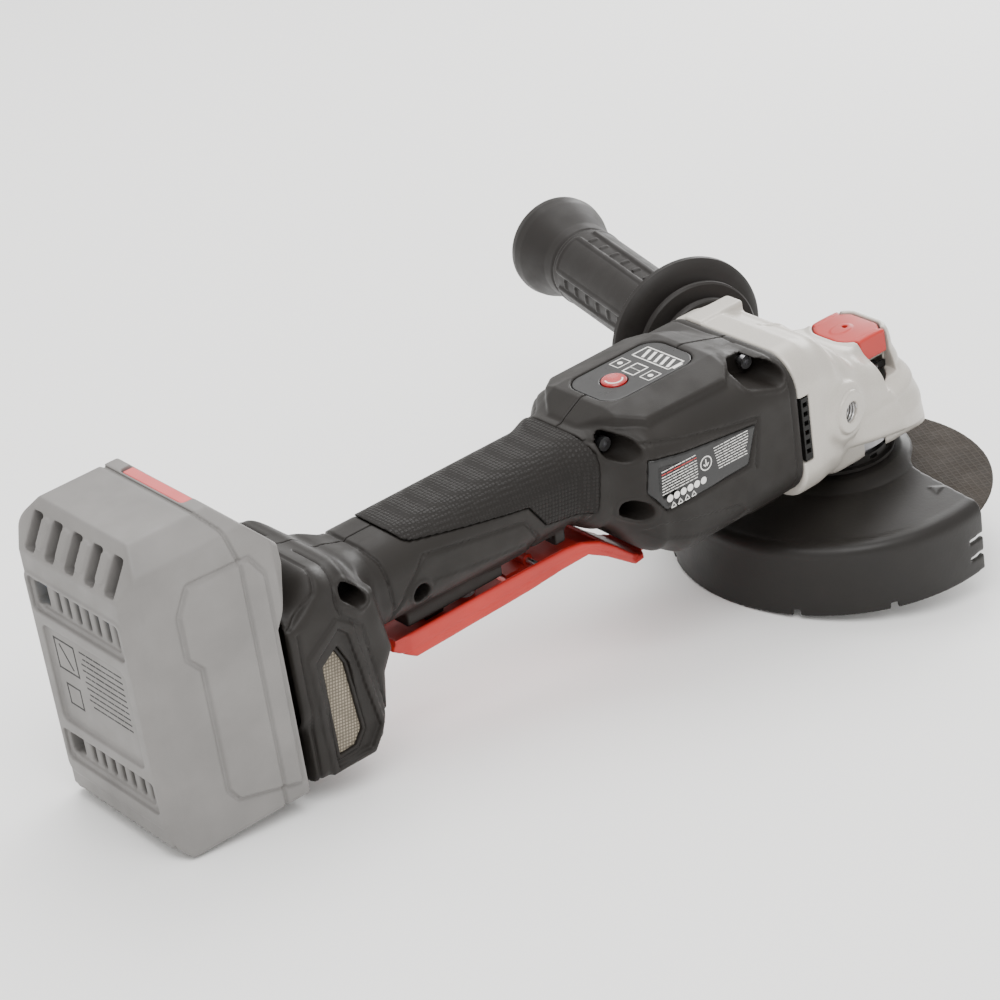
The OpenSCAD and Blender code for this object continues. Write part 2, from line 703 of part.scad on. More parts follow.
// Sector that the guard leaves open at the front, outside its hub
module guard_mouth() {
    half = guard_open / 2;
    difference() {
        translate([0, 0, rim_z - 2]) linear_extrude(80) polygon([
            [0, 0], [100 * cos(half), -100 * sin(half)], [140, -100], [140, 100],
            [100 * cos(half), 100 * sin(half)]
        ]);
        rod_z(rim_z - 3, 0, neck_r + 5.2);
    }
}
module guard() {
    color("#232120") difference() {
        rotate_extrude($fn = 128) guard_profile();
        guard_mouth();
        // notches in the rim and slots at its right end
        for (a = [118, 150, 210, 242]) rotate([0, 0, a])
            box([guard_in - 3, -2, rim_z - 1], [guard_r + 1, 2, rim_z + 2.4]);
        for (z = [rim_z + 7, rim_z + 15]) rotate([0, 0, -guard_open / 2 - 5.2])
            box([guard_in - 3, -2.4, z], [guard_r + 1, 9, z + 1.6]);
    }
}
module guard_collar() {
    color("#1d1c1b") difference() {
        union() {
            ring_z(collar_low - 1, collar_top, neck_r + 0.35 + collar_wall, neck_r + 0.35);
            ring_z(collar_low - 1, collar_low + 0.4, neck_r + 4.4, neck_r + 0.35);
        }
        for (a = [0:30:330]) rotate([0, 0, a]) box([neck_r - 2, -2, collar_low + 1], [neck_r + 8, 2,
            collar_top - 1]);
    }
}
module lever_slot() {
    box([20, -4.5, head_low - 4], [36, 4.5, head_low + 6]);
    rod_y(lever_x, lever_z, -9, 9, 1 + run);
}
lever_x = 29.5;
lever_z = head_low + 2.6;
module guard_lever() {
    color("#1d1c1b") difference() {
        union() {
            rod_y(lever_x, lever_z, -4, 4, 2.2);
            box([25.4, -4, collar_top - 2.4], [36.5, 4, lever_z]);
        }
        rod_y(lever_x, lever_z, -5, 5, 1 + run);
    }
}
module guard_lever_pin() { color("#9a9a9e") rod_y(lever_x, lever_z, -8.5, 8.5, 1); }

// ---------- disc and its flanges ----------

flange_r = 20;
ring_w = 1.4;
module inner_flange() {
    color("#8f8f93") difference() {
        union() {
            rod_z(disc_z, disc_z + flange_t - 1.5, flange_r);
            rod_z(disc_z + flange_t - 2, disc_z + flange_t, flange_r - 5);
            rod_z(disc_z - disc_t, disc_z, disc_bore / 2 - run);
        }
        rod_z(disc_z - 5, disc_z + flange_t - 3, thread_r + run);
        rod_z(disc_z + flange_t - 3, disc_z + flange_t + 1, 8 + run);
    }
}
module disc() {
    color("#5b5148") difference() {
        translate([0, 0, disc_z - disc_t]) cylinder(h = disc_t, r = disc_r, $fn = 128);
        rod_z(disc_z - disc_t - 1, disc_z + 1, disc_bore / 2 + ring_w);
    }
}
module disc_ring() { color("#a8a8ac") ring_z(disc_z - disc_t, disc_z, disc_bore / 2 + ring_w,
    disc_bore / 2); }
module lock_nut() {
    color("#77777b") difference() {
        union() {
            rod_z(disc_z - disc_t - 4, disc_z - disc_t, flange_r);
            rod_z(disc_z - disc_t - nut_t, disc_z - disc_t - 4, 14);
        }
        rod_z(-100, disc_z, thread_r + run);
        for (a = [0:90:270]) rotate([0, 0, a]) translate([16.5, 0, disc_z - disc_t - 5])
            cylinder(h = 3.5, r = 2.4);
    }
}

// ---------- side handle ----------

module side_grip() {
    color("#242120") on_handle_axis(1) difference() {
        rotate_extrude() polygon(concat(
            [[0, 8], [12, 8], [12, 22], [16, 26], [grip_r - 1, 40], [grip_r, 70], [grip_r, 118],
             [grip_r + 0.6, handle_len - 18], [knob_r - 1, handle_len - 11], [knob_r,
                 handle_len - knob_round - 3]],
            [for (a = [0:15:90]) [knob_r - knob_round + knob_round * cos(a),
                handle_len - knob_round + knob_round * sin(a)]],
            [[0, handle_len]]
        ));
        translate([0, 0, 7]) cylinder(h = 31, r = stud_d / 2 + 1.5);
        // long flutes round the grip
        for (a = [0:45:315]) rotate([0, 0, a]) translate([grip_r + 3.4, 0, 48]) cylinder(h = 66, r = 4.4);
    }
}
module hand_guard() {
    // rings of the hand guard between the seat and the grip
    color("#1f1d1c") on_handle_axis(1) difference() {
        rotate_extrude() polygon([
            [12.2, 12], [22, 12], [22, 15.4], [17.5, 16], [17.5, 18], [27, 18.6], [27, 21.8], [20, 22.6],
            [20, 25], [hand_guard_r - 4, 26.4], [hand_guard_r, 28.6], [hand_guard_r, 31.4],
            [hand_guard_r - 2.6, 32.6], [17.6, 30.4], [17.6, 26.4], [12.2, 21.6]
        ]);
        cylinder(h = 60, r = 12.1);
    }
}
module side_stud() {
    color("#a6a6aa") on_handle_axis(1) {
        translate([0, 0, -12]) cylinder(h = 50, r = stud_d / 2);
        translate([0, 0, slack]) cylinder(h = 8 - slack, r = 10.5);
    }
}

// ---------- paddle switch ----------

paddle_rear = neck_x + 4;
paddle_low = -17.5;
// X-Z side outline of the paddle
module paddle_side() {
    polygon([
        [paddle_rear, -7.5], [paddle_rear - 1, -12], [paddle_rear + 8, paddle_low], [-173, paddle_low + 1],
        [-156, -15.4], [-143, -15.2], [-134, -20.5], [-120, -31], [-112, -33], [pivot_x - 4, case_bottom - 4],
        [pivot_x + 2, case_bottom - 4], [pivot_x + 2.4, case_bottom - slack], [pivot_x - 4,
            case_bottom - slack],
        [-barrel_end, case_bottom - 2.8], [-121, case_bottom + 1], [-143, -10.2], [-152, -8], [-172, -7.5]
    ]);
}
module paddle() {
    color("#bf2a22") difference() {
        union() {
            along_y(-paddle_hw, paddle_hw) paddle_side();
            rod_y(pivot_x, pivot_z, -6.4, 6.4, 3);
        }
        // channel that takes the keel of the handle
        along_y(-paddle_hw + paddle_wall, paddle_hw - paddle_wall) polygon([
            [paddle_rear + 3, 0], [paddle_rear + 3, paddle_low + 5], [paddle_rear + 8,
                paddle_low + paddle_wall],
            [-173, paddle_low + paddle_wall + 1], [-156, -15.4 + paddle_wall], [-142, -15.2 + paddle_wall],
            [-132, -18.6 + paddle_wall * 0.6], [-126, 0]
        ]);
        // the rear wall stays below the handle when the paddle is squeezed
        box([paddle_rear - 2, -paddle_hw + paddle_wall, keel_low - 2.8], [paddle_rear + 4,
            paddle_hw - paddle_wall, 0]);
        // the front strip is narrower
        for (s = [-1, 1]) mirror([0, s < 0 ? 1 : 0, 0]) box([-112, 6.4, -50], [-60, 30, 0]);
        for (s = [-1, 1]) mirror([0, s < 0 ? 1 : 0, 0]) box([-122, 12, -50], [-111, 30, 0]);
        rod_y(pivot_x, pivot_z, -20, 20, 1.5 + run);
        // window of the lock-off lever, and its pin
        box([-176, -5, -30], [-160, 5, -8]);
        rod_y(off_x, off_z, -20, 20, 1 + run);
    }
}
off_x = -163;
off_z = -11.6;
module paddle_pin() { color("#9a9a9e") rod_y(pivot_x, pivot_z, -11.5, 11.5, 1.5); }
module paddle_spring() {
    color("#7d7d80") translate([-190, 0, paddle_low + paddle_wall + 0.9]) coil(3, 0.8, 2);
}
module lock_off_lever() {
    color("#b5251f") difference() {
        union() {
            rod_y(off_x, off_z, -4.4, 4.4, 2.2);
            box([-174, -4.4, -16.8], [-163, 4.4, -13.2]);
            box([-165, -4.4, -15], [-161.4, 4.4, off_z]);
            along_y(-4.4, 4.4) polygon([[-174.5, -14], [-173, -20], [-169, -20], [-165, -14]]);
        }
        rod_y(off_x, off_z, -6, 6, 1 + run);
    }
}
module lock_off_pin() { color("#9a9a9e") rod_y(off_x, off_z, -15.5, 15.5, 1); }

switch_low = grip_low + wall + 1.2;
module switch_body() {
    color("#1e1e20") difference() {
        box([-216, -9, switch_low], [-190, 9, switch_low + 20]);
        box([-212, -3 - slack, switch_low - 1], [-202, 3 + slack, switch_low + 8]);
    }
}
module switch_plunger() {
    color("#b7b7b2") box([-211, -3, paddle_low + paddle_wall + 0.9], [-203, 3, switch_low + 2]);
}
module controller() {
    color("#27402c") {
        box([-282, -26, -14], [-270, 26, -12]);
        box([-280, -20, -12], [-272, 20, 14]);
    }
}

// ---------- battery pack ----------

split_x = bat_front - 20;
bat_bevel = 6;
// X-Z side outline of the battery, shrunk by i
module bat_side(i) {
    polygon([
        [bat_rear + bat_edge, bat_bottom + i], [bat_front - i, bat_bottom + i], [bat_front - i, 35],
        [bat_front + 10.5 - i, 54], [bat_front + 9.5 - i, 62], [bat_front - 13, bat_top - i],
        [bat_rear + 10, bat_top - i], [bat_rear + i, bat_shoulder - i], [bat_rear + i, bat_bottom + bat_edge]
    ]);
}
// X-Y outline with bevelled upright edges
module bat_plan(i) {
    polygon([
        [bat_rear + i, -bat_hw + bat_bevel], [bat_rear + bat_bevel, -bat_hw + i], [bat_front + 12,
            -bat_hw + i],
        [bat_front + 12, bat_hw - i], [bat_rear + bat_bevel, bat_hw - i], [bat_rear + i, bat_hw - bat_bevel]
    ]);
}
module bat_solid(i) {
    intersection() {
        along_y(-bat_hw, bat_hw) bat_side(i);
        translate([0, 0, -100]) linear_extrude(300) bat_plan(i);
    }
}
module bat_shell() {
    difference() {
        bat_solid(0);
        bat_solid(bat_wall);
    }
}
latch_hw = 17.5;
latch_low = bat_top - 13;
slot_top = 33;
module battery_case_rear() {
    color("#8d8b89") difference() {
        union() {
            intersection() { bat_shell(); box([bat_rear - 1, -60, -60], [split_x, 60, 120]); }
            for (p = bat_screw_at) intersection() {
                translate([0, p[0], p[1]]) rod_x(split_x - 12, split_x, 3.4);
                bat_solid(0);
            }
        }
        // vents in the rear bevel
        for (i = [-2:2]) box([bat_rear - 1, i * 12 - 3.6, bat_shoulder - 2], [bat_rear + 7, i * 12 + 3.6,
            bat_shoulder + 9]);
        for (p = bat_screw_at) translate([0, p[0], p[1]]) rod_x(split_x - 11, split_x + 1, 1.2);
        latch_pocket();
    }
}
bat_screw_at = [for (y = [-1, 1]) for (z = [bat_bottom + 3.4, bat_top - 15]) [y * (bat_hw - 4.6), z]];
module latch_pocket() {
    box([bat_front - 17, -latch_hw - slack, latch_low - 4.5], [bat_front + 5, latch_hw + slack, bat_top + 2]);
}
module battery_case_front() {
    color("#8d8b89") difference() {
        union() {
            intersection() { bat_shell(); box([split_x, -60, -60], [bat_front + 20, 60, 120]); }
            // block behind the slide-on rail
            intersection() {
                box([bat_front - 9, -bat_hw, bat_bottom], [bat_front, bat_hw, slot_top + 3]);
                bat_solid(0);
            }
            // pocket of the release button
            intersection() {
                box([bat_front - 17 - bat_wall, -latch_hw - slack - bat_wall, latch_low - 4.5 - bat_wall],
                    [bat_front + 5, latch_hw + slack + bat_wall, bat_top]);
                bat_solid(0);
            }
            for (p = bat_screw_at) intersection() {
                translate([0, p[0], p[1]]) rod_x(split_x, split_x + 9, 3.4);
                bat_solid(0);
            }
        }
        // slot of the rail, open at the bottom
        translate([0, 0, bat_bottom - 1]) linear_extrude(slot_top - bat_bottom + 1) rail_section(slack);
        translate([0, 0, bat_bottom - 1]) linear_extrude(slot_top - bat_bottom + 1)
            translate([bat_front - 1, -rail_neck - slack]) square([3, 2 * (rail_neck + slack)]);
        for (y = blade_y) box([bat_front - 10, y - 0.4 - slack, bat_bottom - 1], [bat_front - 3,
            y + 0.4 + slack, blade_high + slack]);
        for (p = bat_screw_at) translate([0, p[0], p[1]]) rod_x(split_x - 1, split_x + 10, 1.2 + seat);
        for (p = bat_screw_at) translate([0, p[0], p[1]]) rod_x(split_x + 7, bat_front + 20, 2.8);
        latch_pocket();
    }
}
module battery_latch() {
    color("#d8696b") intersection() {
        box([bat_front - 17 + slack, -latch_hw, latch_low + 1], [bat_front + 2, latch_hw, bat_top]);
        along_y(-bat_hw, bat_hw) bat_side(0.4);
    }
}
cell_r = 9.1;
cell_x = [for (i = [0, 1]) bat_rear + bat_wall + cell_r + 2.3 + i * (2 * cell_r + 0.4)];
module battery_cells() {
    color("#3d6c8f") for (x = cell_x) for (i = [0:4])
        rod_y(x, bat_bottom + 16 + i * (2 * cell_r + 0.5), -32, 32, cell_r);
}
module battery_contacts() {
    color("#c9a14a") for (y = blade_y) for (s = [-1, 1])
        box([bat_front - 12.6, y + s * 1.7 - 0.4, 4], [bat_front - 9.1, y + s * 1.7 + 0.4, 16]);
}
module battery_screws() {
    color("#3a3a3c") for (p = bat_screw_at) translate([0, p[0], p[1]]) {
        rod_x(split_x - 10, split_x + 7, 1.2);
        rod_x(split_x + 7, split_x + 8.6, 2.4);
    }
}

// ---------- nodes ----------

stand() housing_left();
stand() housing_right();
stand() housing_screws();
stand() rubber_grip();
stand() control_panel();
stand() power_button();
stand() rating_plate();
stand() filter_frame_left();
stand() filter_frame_right();
stand() filter_mesh_left();
stand() filter_mesh_right();
stand() battery_rail();
stand() tool_terminals();
stand() gear_case();
stand() gear_case_screws();
stand() vent_grilles();
stand() inner_cover();
stand() stator_core();
stand() stator_windings();
stand() rotor_core();
stand() rotor_shaft();
stand() fan();
stand() front_bearing();
stand() rear_bearing();
stand() pinion();
stand() bevel_gear();
stand() spindle();
stand() upper_bearing();
stand() lower_bearing();
stand() bearing_box();
stand() bearing_box_screws();
stand() dust_seal();
stand() lock_button();
stand() lock_pin();
stand() lock_spring();
stand() guard_collar();
stand() guard();
stand() guard_lever();
stand() guard_lever_pin();
stand() inner_flange();
stand() disc();
stand() disc_ring();
stand() lock_nut();
stand() side_grip();
stand() hand_guard();
stand() side_stud();
stand() paddle();
stand() paddle_pin();
stand() paddle_spring();
stand() lock_off_lever();
stand() lock_off_pin();
stand() switch_body();
stand() switch_plunger();
stand() controller();
stand() battery_case_rear();
stand() battery_case_front();
stand() battery_latch();
stand() battery_cells();
stand() battery_contacts();
stand() battery_screws();
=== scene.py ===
"""Looks of the cordless angle grinder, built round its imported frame.

Pieces are modelled in millimetres in the tool's own axes, which the frame's joints give: the motor
axis is X (nose forward), the spindle axis is Z, they meet at the origin, and +Y is the side-handle
side. Moulded and cast pieces are signed-distance fields, meshed on a fine grid.
"""

import json
import math

import bpy
import numpy as np
from mathutils import Matrix, Vector


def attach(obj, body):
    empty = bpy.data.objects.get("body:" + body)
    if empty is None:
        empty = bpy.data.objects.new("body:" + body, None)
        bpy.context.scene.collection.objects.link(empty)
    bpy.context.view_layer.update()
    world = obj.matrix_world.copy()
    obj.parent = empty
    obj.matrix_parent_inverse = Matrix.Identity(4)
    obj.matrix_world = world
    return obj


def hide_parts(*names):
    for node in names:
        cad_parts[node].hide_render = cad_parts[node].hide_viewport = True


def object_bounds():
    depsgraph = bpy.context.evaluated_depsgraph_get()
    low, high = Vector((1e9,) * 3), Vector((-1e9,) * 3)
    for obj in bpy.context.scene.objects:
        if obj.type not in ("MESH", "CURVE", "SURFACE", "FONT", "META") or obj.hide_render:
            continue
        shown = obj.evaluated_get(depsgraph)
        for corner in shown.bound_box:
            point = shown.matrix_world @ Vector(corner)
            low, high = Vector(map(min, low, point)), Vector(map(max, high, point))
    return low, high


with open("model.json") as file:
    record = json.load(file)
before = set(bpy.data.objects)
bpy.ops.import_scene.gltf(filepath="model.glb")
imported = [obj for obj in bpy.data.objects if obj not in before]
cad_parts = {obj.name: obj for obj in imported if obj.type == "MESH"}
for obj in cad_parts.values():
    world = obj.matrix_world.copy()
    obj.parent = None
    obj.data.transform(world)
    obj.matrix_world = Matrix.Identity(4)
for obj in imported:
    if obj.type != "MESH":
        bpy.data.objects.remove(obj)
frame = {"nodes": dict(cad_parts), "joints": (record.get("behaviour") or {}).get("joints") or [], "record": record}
cad_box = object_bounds()

MM = 0.001
COARSE = 1.0  # grid steps grow by this much

# ---------- the tool's own axes ----------

JOINTS = {j["name"]: j for j in frame["joints"]}
MOTOR_AXIS = Vector(JOINTS["rotor_spin"]["axis"])
SPINDLE_AXIS = Vector(JOINTS["spindle_spin"]["axis"])
HANDLE_AXIS = Vector(JOINTS["side_handle_out"]["axis"])
TURN = Matrix((MOTOR_AXIS, SPINDLE_AXIS.cross(MOTOR_AXIS), SPINDLE_AXIS)).transposed()
ORIGIN = Vector(JOINTS["spindle_spin"]["pos_m"])
TOOL = Matrix.Translation(ORIGIN) @ TURN.to_4x4() @ Matrix.Scale(MM, 4)
TOOL_ARRAY = np.array(TOOL)
BACK_ARRAY = np.array(TOOL.inverted())


def tool_point(x, y, z):
    """A point given in the tool's axes, in the row frame."""
    return TOOL @ Vector((x, y, z))


def tool_box(node):
    """Lowest and highest corner of a CAD node in the tool's axes, in millimetres."""
    co = np.array([v.co for v in frame["nodes"][node].data.vertices])
    local = co @ BACK_ARRAY[:3, :3].T + BACK_ARRAY[:3, 3]
    return local.min(0), local.max(0)


# ---------- meshing ----------


def add_mesh(name, points, faces, material, body, slot, replaces=(), smooth=True, place=TOOL_ARRAY):
    """Makes a piece from points in the tool's axes, rides it on its body and gives it its material."""
    placed = points @ place[:3, :3].T + place[:3, 3]
    mesh = bpy.data.meshes.new(name)
    if isinstance(faces, np.ndarray):
        count, sides = faces.shape
        mesh.vertices.add(len(placed))
        mesh.vertices.foreach_set("co", placed.astype(np.float32).ravel())
        mesh.loops.add(count * sides)
        mesh.loops.foreach_set("vertex_index", faces.astype(np.int32).ravel())
        mesh.polygons.add(count)
        mesh.polygons.foreach_set("loop_start", np.arange(0, count * sides, sides, dtype=np.int32))
        mesh.update(calc_edges=True)
    else:
        mesh.from_pydata([tuple(p) for p in placed], [], faces)
    mesh.validate()
    if smooth:
        mesh.shade_smooth()
    else:
        mesh.shade_flat()
    obj = bpy.data.objects.new(name, mesh)
    bpy.context.scene.collection.objects.link(obj)
    mesh.materials.append(material)
    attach(obj, body)
    if replaces:
        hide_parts(*replaces)
    return obj


class Field:
    """A grid over a box, in millimetres, on which signed distances are worked out: negative is inside."""

    def __init__(self, low, high, step):
        self.step = step * COARSE
        self.low = np.array(low, float) - 2 * self.step
        counts = np.ceil((np.array(high, float) - self.low) / self.step).astype(int) + 3
        axes = [self.low[i] + self.step * np.arange(counts[i]) for i in range(3)]
        self.x = axes[0].astype(np.float32)[:, None, None]
        self.y = axes[1].astype(np.float32)[None, :, None]
        self.z = axes[2].astype(np.float32)[None, None, :]

    def side(self, points):
        """Signed distance from a closed outline, seen from the side."""
        return outline(self.x, self.z, points)

    def line(self, points):
        """Distance from an open line of points, seen from the side."""
        return path_distance(self.x, self.z, points)

    def mesh(self, distance):
        """Points and quads of the surface where the distance is zero (surface nets)."""
        shape = np.broadcast_shapes(self.x.shape, self.y.shape, self.z.shape)
        d = np.ascontiguousarray(np.broadcast_to(distance, shape), np.float32)
        inside = d < 0
        cells = tuple(n - 1 for n in shape)
        count = np.zeros(cells, np.int8)
        corners = [(i, j, k) for i in (0, 1) for j in (0, 1) for k in (0, 1)]
        for i, j, k in corners:
            count += inside[i : i + cells[0], j : j + cells[1], k : k + cells[2]]
        active = (count > 0) & (count < 8)
        index = np.full(cells, -1, np.int32)
        at = np.argwhere(active)
        index[active] = np.arange(len(at))
        total = np.zeros((len(at), 3))
        hits = np.zeros(len(at))
        for axis in range(3):
            unit = np.eye(3, dtype=int)[axis]
            for corner in corners:
                if corner[axis]:
                    continue
                a = at + corner
                b = a + unit
                fa = d[a[:, 0], a[:, 1], a[:, 2]]
                fb = d[b[:, 0], b[:, 1], b[:, 2]]
                cross = (fa < 0) != (fb < 0)
                share = np.where(cross, fa / np.where(cross, fa - fb, 1), 0)
                point = a + share[:, None] * unit
                total += np.where(cross[:, None], point, 0)
                hits += cross
        points = total / hits[:, None] * self.step + self.low
        quads = []
        for axis in range(3):
            u, v = [a for a in range(3) if a != axis]
            first = [slice(1, -1)] * 3
            second = [slice(1, -1)] * 3
            first[axis], second[axis] = slice(0, -1), slice(1, None)
            fa, fb = inside[tuple(first)], inside[tuple(second)]
            for start, turned in ((fa & ~fb, False), (~fa & fb, True)):
                spot = np.argwhere(start)
                spot[:, u] += 1
                spot[:, v] += 1
                ring = []
                for du, dv in ((-1, -1), (0, -1), (0, 0), (-1, 0)):
                    c = spot.copy()
                    c[:, u] += du
                    c[:, v] += dv
                    ring.append(index[c[:, 0], c[:, 1], c[:, 2]])
                quad = np.stack(ring, 1)
                quads.append(quad[:, ::-1] if turned != (axis == 1) else quad)
        return points, np.concatenate(quads)


def join(*parts, blend=0.0):
    """Union of distances, with a fillet of about that size between them."""
    result = parts[0]
    for part in parts[1:]:
        if blend > 0:
            h = np.maximum(blend - np.abs(result - part), 0) / blend
            result = np.minimum(result, part) - h * h * blend / 4
        else:
            result = np.minimum(result, part)
    return result


def common(*parts, blend=0.0):
    """Intersection of distances, with rounded edges of about that size."""
    return -join(*[-p for p in parts], blend=blend)


def cut(solid, *tools, blend=0.0):
    """What is left of a solid without the tools, with edges rounded by about that size."""
    return common(solid, *[-tool for tool in tools], blend=blend)


def outline(u, v, points):
    """Signed distance from a closed outline, on two broadcastable coordinate arrays."""
    pts = [np.array(p, float) for p in points]
    best, sign = None, None
    for a, b in zip(pts, pts[1:] + pts[:1]):
        e = b - a
        du, dv = u - a[0], v - a[1]
        t = np.clip((du * e[0] + dv * e[1]) / (e @ e), 0, 1)
        away = (du - t * e[0]) ** 2 + (dv - t * e[1]) ** 2
        best = away if best is None else np.minimum(best, away)
        above, below = dv >= 0, (v - b[1]) < 0
        side = e[0] * dv - e[1] * du
        flip = (above & below & (side > 0)) | (~above & ~below & (side < 0))
        sign = flip if sign is None else sign ^ flip
    return np.where(sign, -1, 1) * np.sqrt(best)


def path_distance(u, v, points):
    """Distance from an open line of points."""
    best = None
    for a, b in zip(points, points[1:]):
        e = np.array(b, float) - np.array(a, float)
        du, dv = u - a[0], v - a[1]
        t = np.clip((du * e[0] + dv * e[1]) / max(e @ e, 1e-9), 0, 1)
        away = (du - t * e[0]) ** 2 + (dv - t * e[1]) ** 2
        best = away if best is None else np.minimum(best, away)
    return np.sqrt(best)


def block(u, v, centre, half, radius=0.0):
    """Rounded rectangle in two coordinates."""
    qu = np.abs(u - centre[0]) - half[0] + radius
    qv = np.abs(v - centre[1]) - half[1] + radius
    return np.hypot(np.maximum(qu, 0), np.maximum(qv, 0)) + np.minimum(np.maximum(qu, qv), 0) - radius


def span(w, low, high):
    """Distance from the slab between two values of one coordinate."""
    return np.maximum(low - w, w - high)


def ease(s):
    """A smooth step from 0 at 0 to 1 at 1."""
    s = np.clip(s, 0, 1)
    return s * s * (3 - 2 * s)


def eased(w, stations, column):
    """A station value at w, easing from each station to the next."""
    ws = [s[0] for s in stations]
    values = [s[column] for s in stations]
    result = np.full(w.shape, values[0], float)
    for i in range(1, len(ws)):
        t = ease((w - ws[i - 1]) / (ws[i] - ws[i - 1]))
        result = result + (values[i] - values[i - 1]) * t
    return result.astype(np.float32)


def follow(w, stations):
    """A value at w, in straight lines from each (place, value) to the next."""
    return np.interp(w, *zip(*stations)).astype(np.float32)


def loft_x(f, stations):
    """Rounded sections along X: each station is x, half width, bottom, top, corner radius."""
    half, low, high, radius = (eased(f.x, stations, c) for c in (1, 2, 3, 4))
    tall = (high - low) / 2
    return block(f.y, f.z, (0, (high + low) / 2), (half, tall), radius)


def stamp(distance, limit, height, edge=0.7):
    """Raises the surface by height inside a limit, or sinks it where height is negative."""
    return distance - height * ease(0.5 - limit / edge)


def score(distance, away, depth, width, where=1.0):
    """Cuts a fine groove along a line that lies at distance zero of away."""
    return distance + depth * where * ease(1 - away / width)


# ---------- materials ----------

SLOTS = {m["slot"]: m for m in frame["record"]["materials"]}


class Shader:
    """A small builder of node materials, in the row frame's metres."""

    def __init__(self, name, color, roughness, metallic=0.0, specular=0.5, coat=0.0):
        self.material = bpy.data.materials.new(name)
        self.material.use_nodes = True
        self.tree = self.material.node_tree
        self.surface = self.tree.nodes["Principled BSDF"].inputs
        self.surface["Base Color"].default_value = (*color, 1)
        self.surface["Roughness"].default_value = roughness
        self.surface["Metallic"].default_value = metallic
        self.surface["Specular IOR Level"].default_value = specular
        self.surface["Coat Weight"].default_value = coat
        self.surface["Coat Roughness"].default_value = 0.25
        self.color = color
        self.roughness = roughness
        self.place = self.node("ShaderNodeTexCoord").outputs["Object"]
        self.shade = None
        self.gloss = None
        self.normal = None

    def node(self, kind, inputs=None, **settings):
        """Adds a node; an input is linked to a socket or set to a value, and a colour gets its alpha."""
        made = self.tree.nodes.new(kind)
        for key, value in settings.items():
            setattr(made, key, value)
        for key, value in (inputs or {}).items():
            socket = made.inputs[key]
            if isinstance(value, bpy.types.NodeSocket):
                self.tree.links.new(value, socket)
            else:
                socket.default_value = (*value, 1) if socket.type == "RGBA" else value
        return made

    def noise(self, size_mm, detail=3.0, place=None):
        inputs = {"Vector": place or self.place, "Scale": 1 / (size_mm * MM), "Detail": detail}
        return self.node("ShaderNodeTexNoise", inputs).outputs["Fac"]

    def cells(self, size_mm, output="Distance", **inputs):
        inputs.update({"Vector": self.place, "Scale": 1 / (size_mm * MM)})
        return self.node("ShaderNodeTexVoronoi", inputs).outputs[output]

    def waves(self, size_mm, distortion, detail, place=None, **settings):
        """Bands that repeat at about that size."""
        inputs = {"Vector": place or self.place, "Scale": 0.314 / (size_mm * MM)}
        inputs.update({"Distortion": distortion, "Detail": detail})
        return self.node("ShaderNodeTexWave", inputs, **settings).outputs["Fac"]

    def remap(self, value, low, high, to_low, to_high):
        inputs = {"Value": value, "From Min": low, "From Max": high, "To Min": to_low, "To Max": to_high}
        return self.node("ShaderNodeMapRange", inputs).outputs["Result"]

    def math(self, operation, a, b):
        return self.node("ShaderNodeMath", {0: a, 1: b}, operation=operation).outputs[0]

    def mix_color(self, factor, a, b):
        return self.node("ShaderNodeMix", {0: factor, 6: a, 7: b}, data_type="RGBA").outputs[2]

    def bump(self, height, depth_mm, strength=1.0):
        inputs = {"Height": height, "Distance": depth_mm * MM, "Strength": strength}
        if self.normal is not None:
            inputs["Normal"] = self.normal
        self.normal = self.node("ShaderNodeBump", inputs).outputs["Normal"]

    def vary(self, size_mm, spread, rough_spread=0.08):
        """Slow changes of shade and gloss, as handling and moulding leave."""
        dark = [c * (1 - spread) for c in self.color]
        light = [min(1, c * (1 + spread)) for c in self.color]
        self.shade = self.mix_color(self.remap(self.noise(size_mm, 4.0), 0.3, 0.7, 0, 1), dark, light)
        low, high = self.roughness - rough_spread, self.roughness + rough_spread
        self.gloss = self.remap(self.noise(size_mm * 0.4, 5.0), 0.3, 0.7, low, high)

    def finish(self):
        """Links what was built to the surface."""
        for key, socket in (("Base Color", self.shade), ("Roughness", self.gloss), ("Normal", self.normal)):
            if socket is not None:
                self.tree.links.new(socket, self.surface[key])
        return self.material


def moulded(name, color, roughness=0.5, grain_mm=0.35, depth_mm=0.03, specular=0.45):
    """Moulded plastic with a fine spark-eroded texture."""
    s = Shader(name, color, roughness, specular=specular)
    s.vary(22, 0.10)
    s.bump(s.noise(grain_mm, 2.0), depth_mm, 0.8)
    s.bump(s.noise(grain_mm * 12, 2.0), depth_mm, 0.4)
    return s.finish()


def metal(name, color, roughness):
    """Machined or ground steel, with fine marks drawn out along one axis."""
    s = Shader(name, color, roughness, metallic=1.0)
    s.vary(8, 0.12, 0.1)
    stretched = s.node("ShaderNodeMapping", {"Vector": s.place, "Scale": (1, 1, 6)}).outputs[0]
    s.bump(s.noise(0.25, 3.0, place=stretched), 0.01, 0.7)
    return s.finish()


def rubber_dots(name, color):
    """Soft overmould covered in small raised dots."""
    s = Shader(name, color, 0.62, specular=0.2)
    s.vary(25, 0.10)
    raised = s.remap(s.cells(1.55, Randomness=0.12), 0.30, 0.55, 1, 0)
    s.bump(raised, 0.22, 0.9)
    s.bump(s.noise(0.25, 2.0), 0.02, 0.6)
    s.gloss = s.remap(raised, 0, 1, 0.74, 0.46)
    return s.finish()


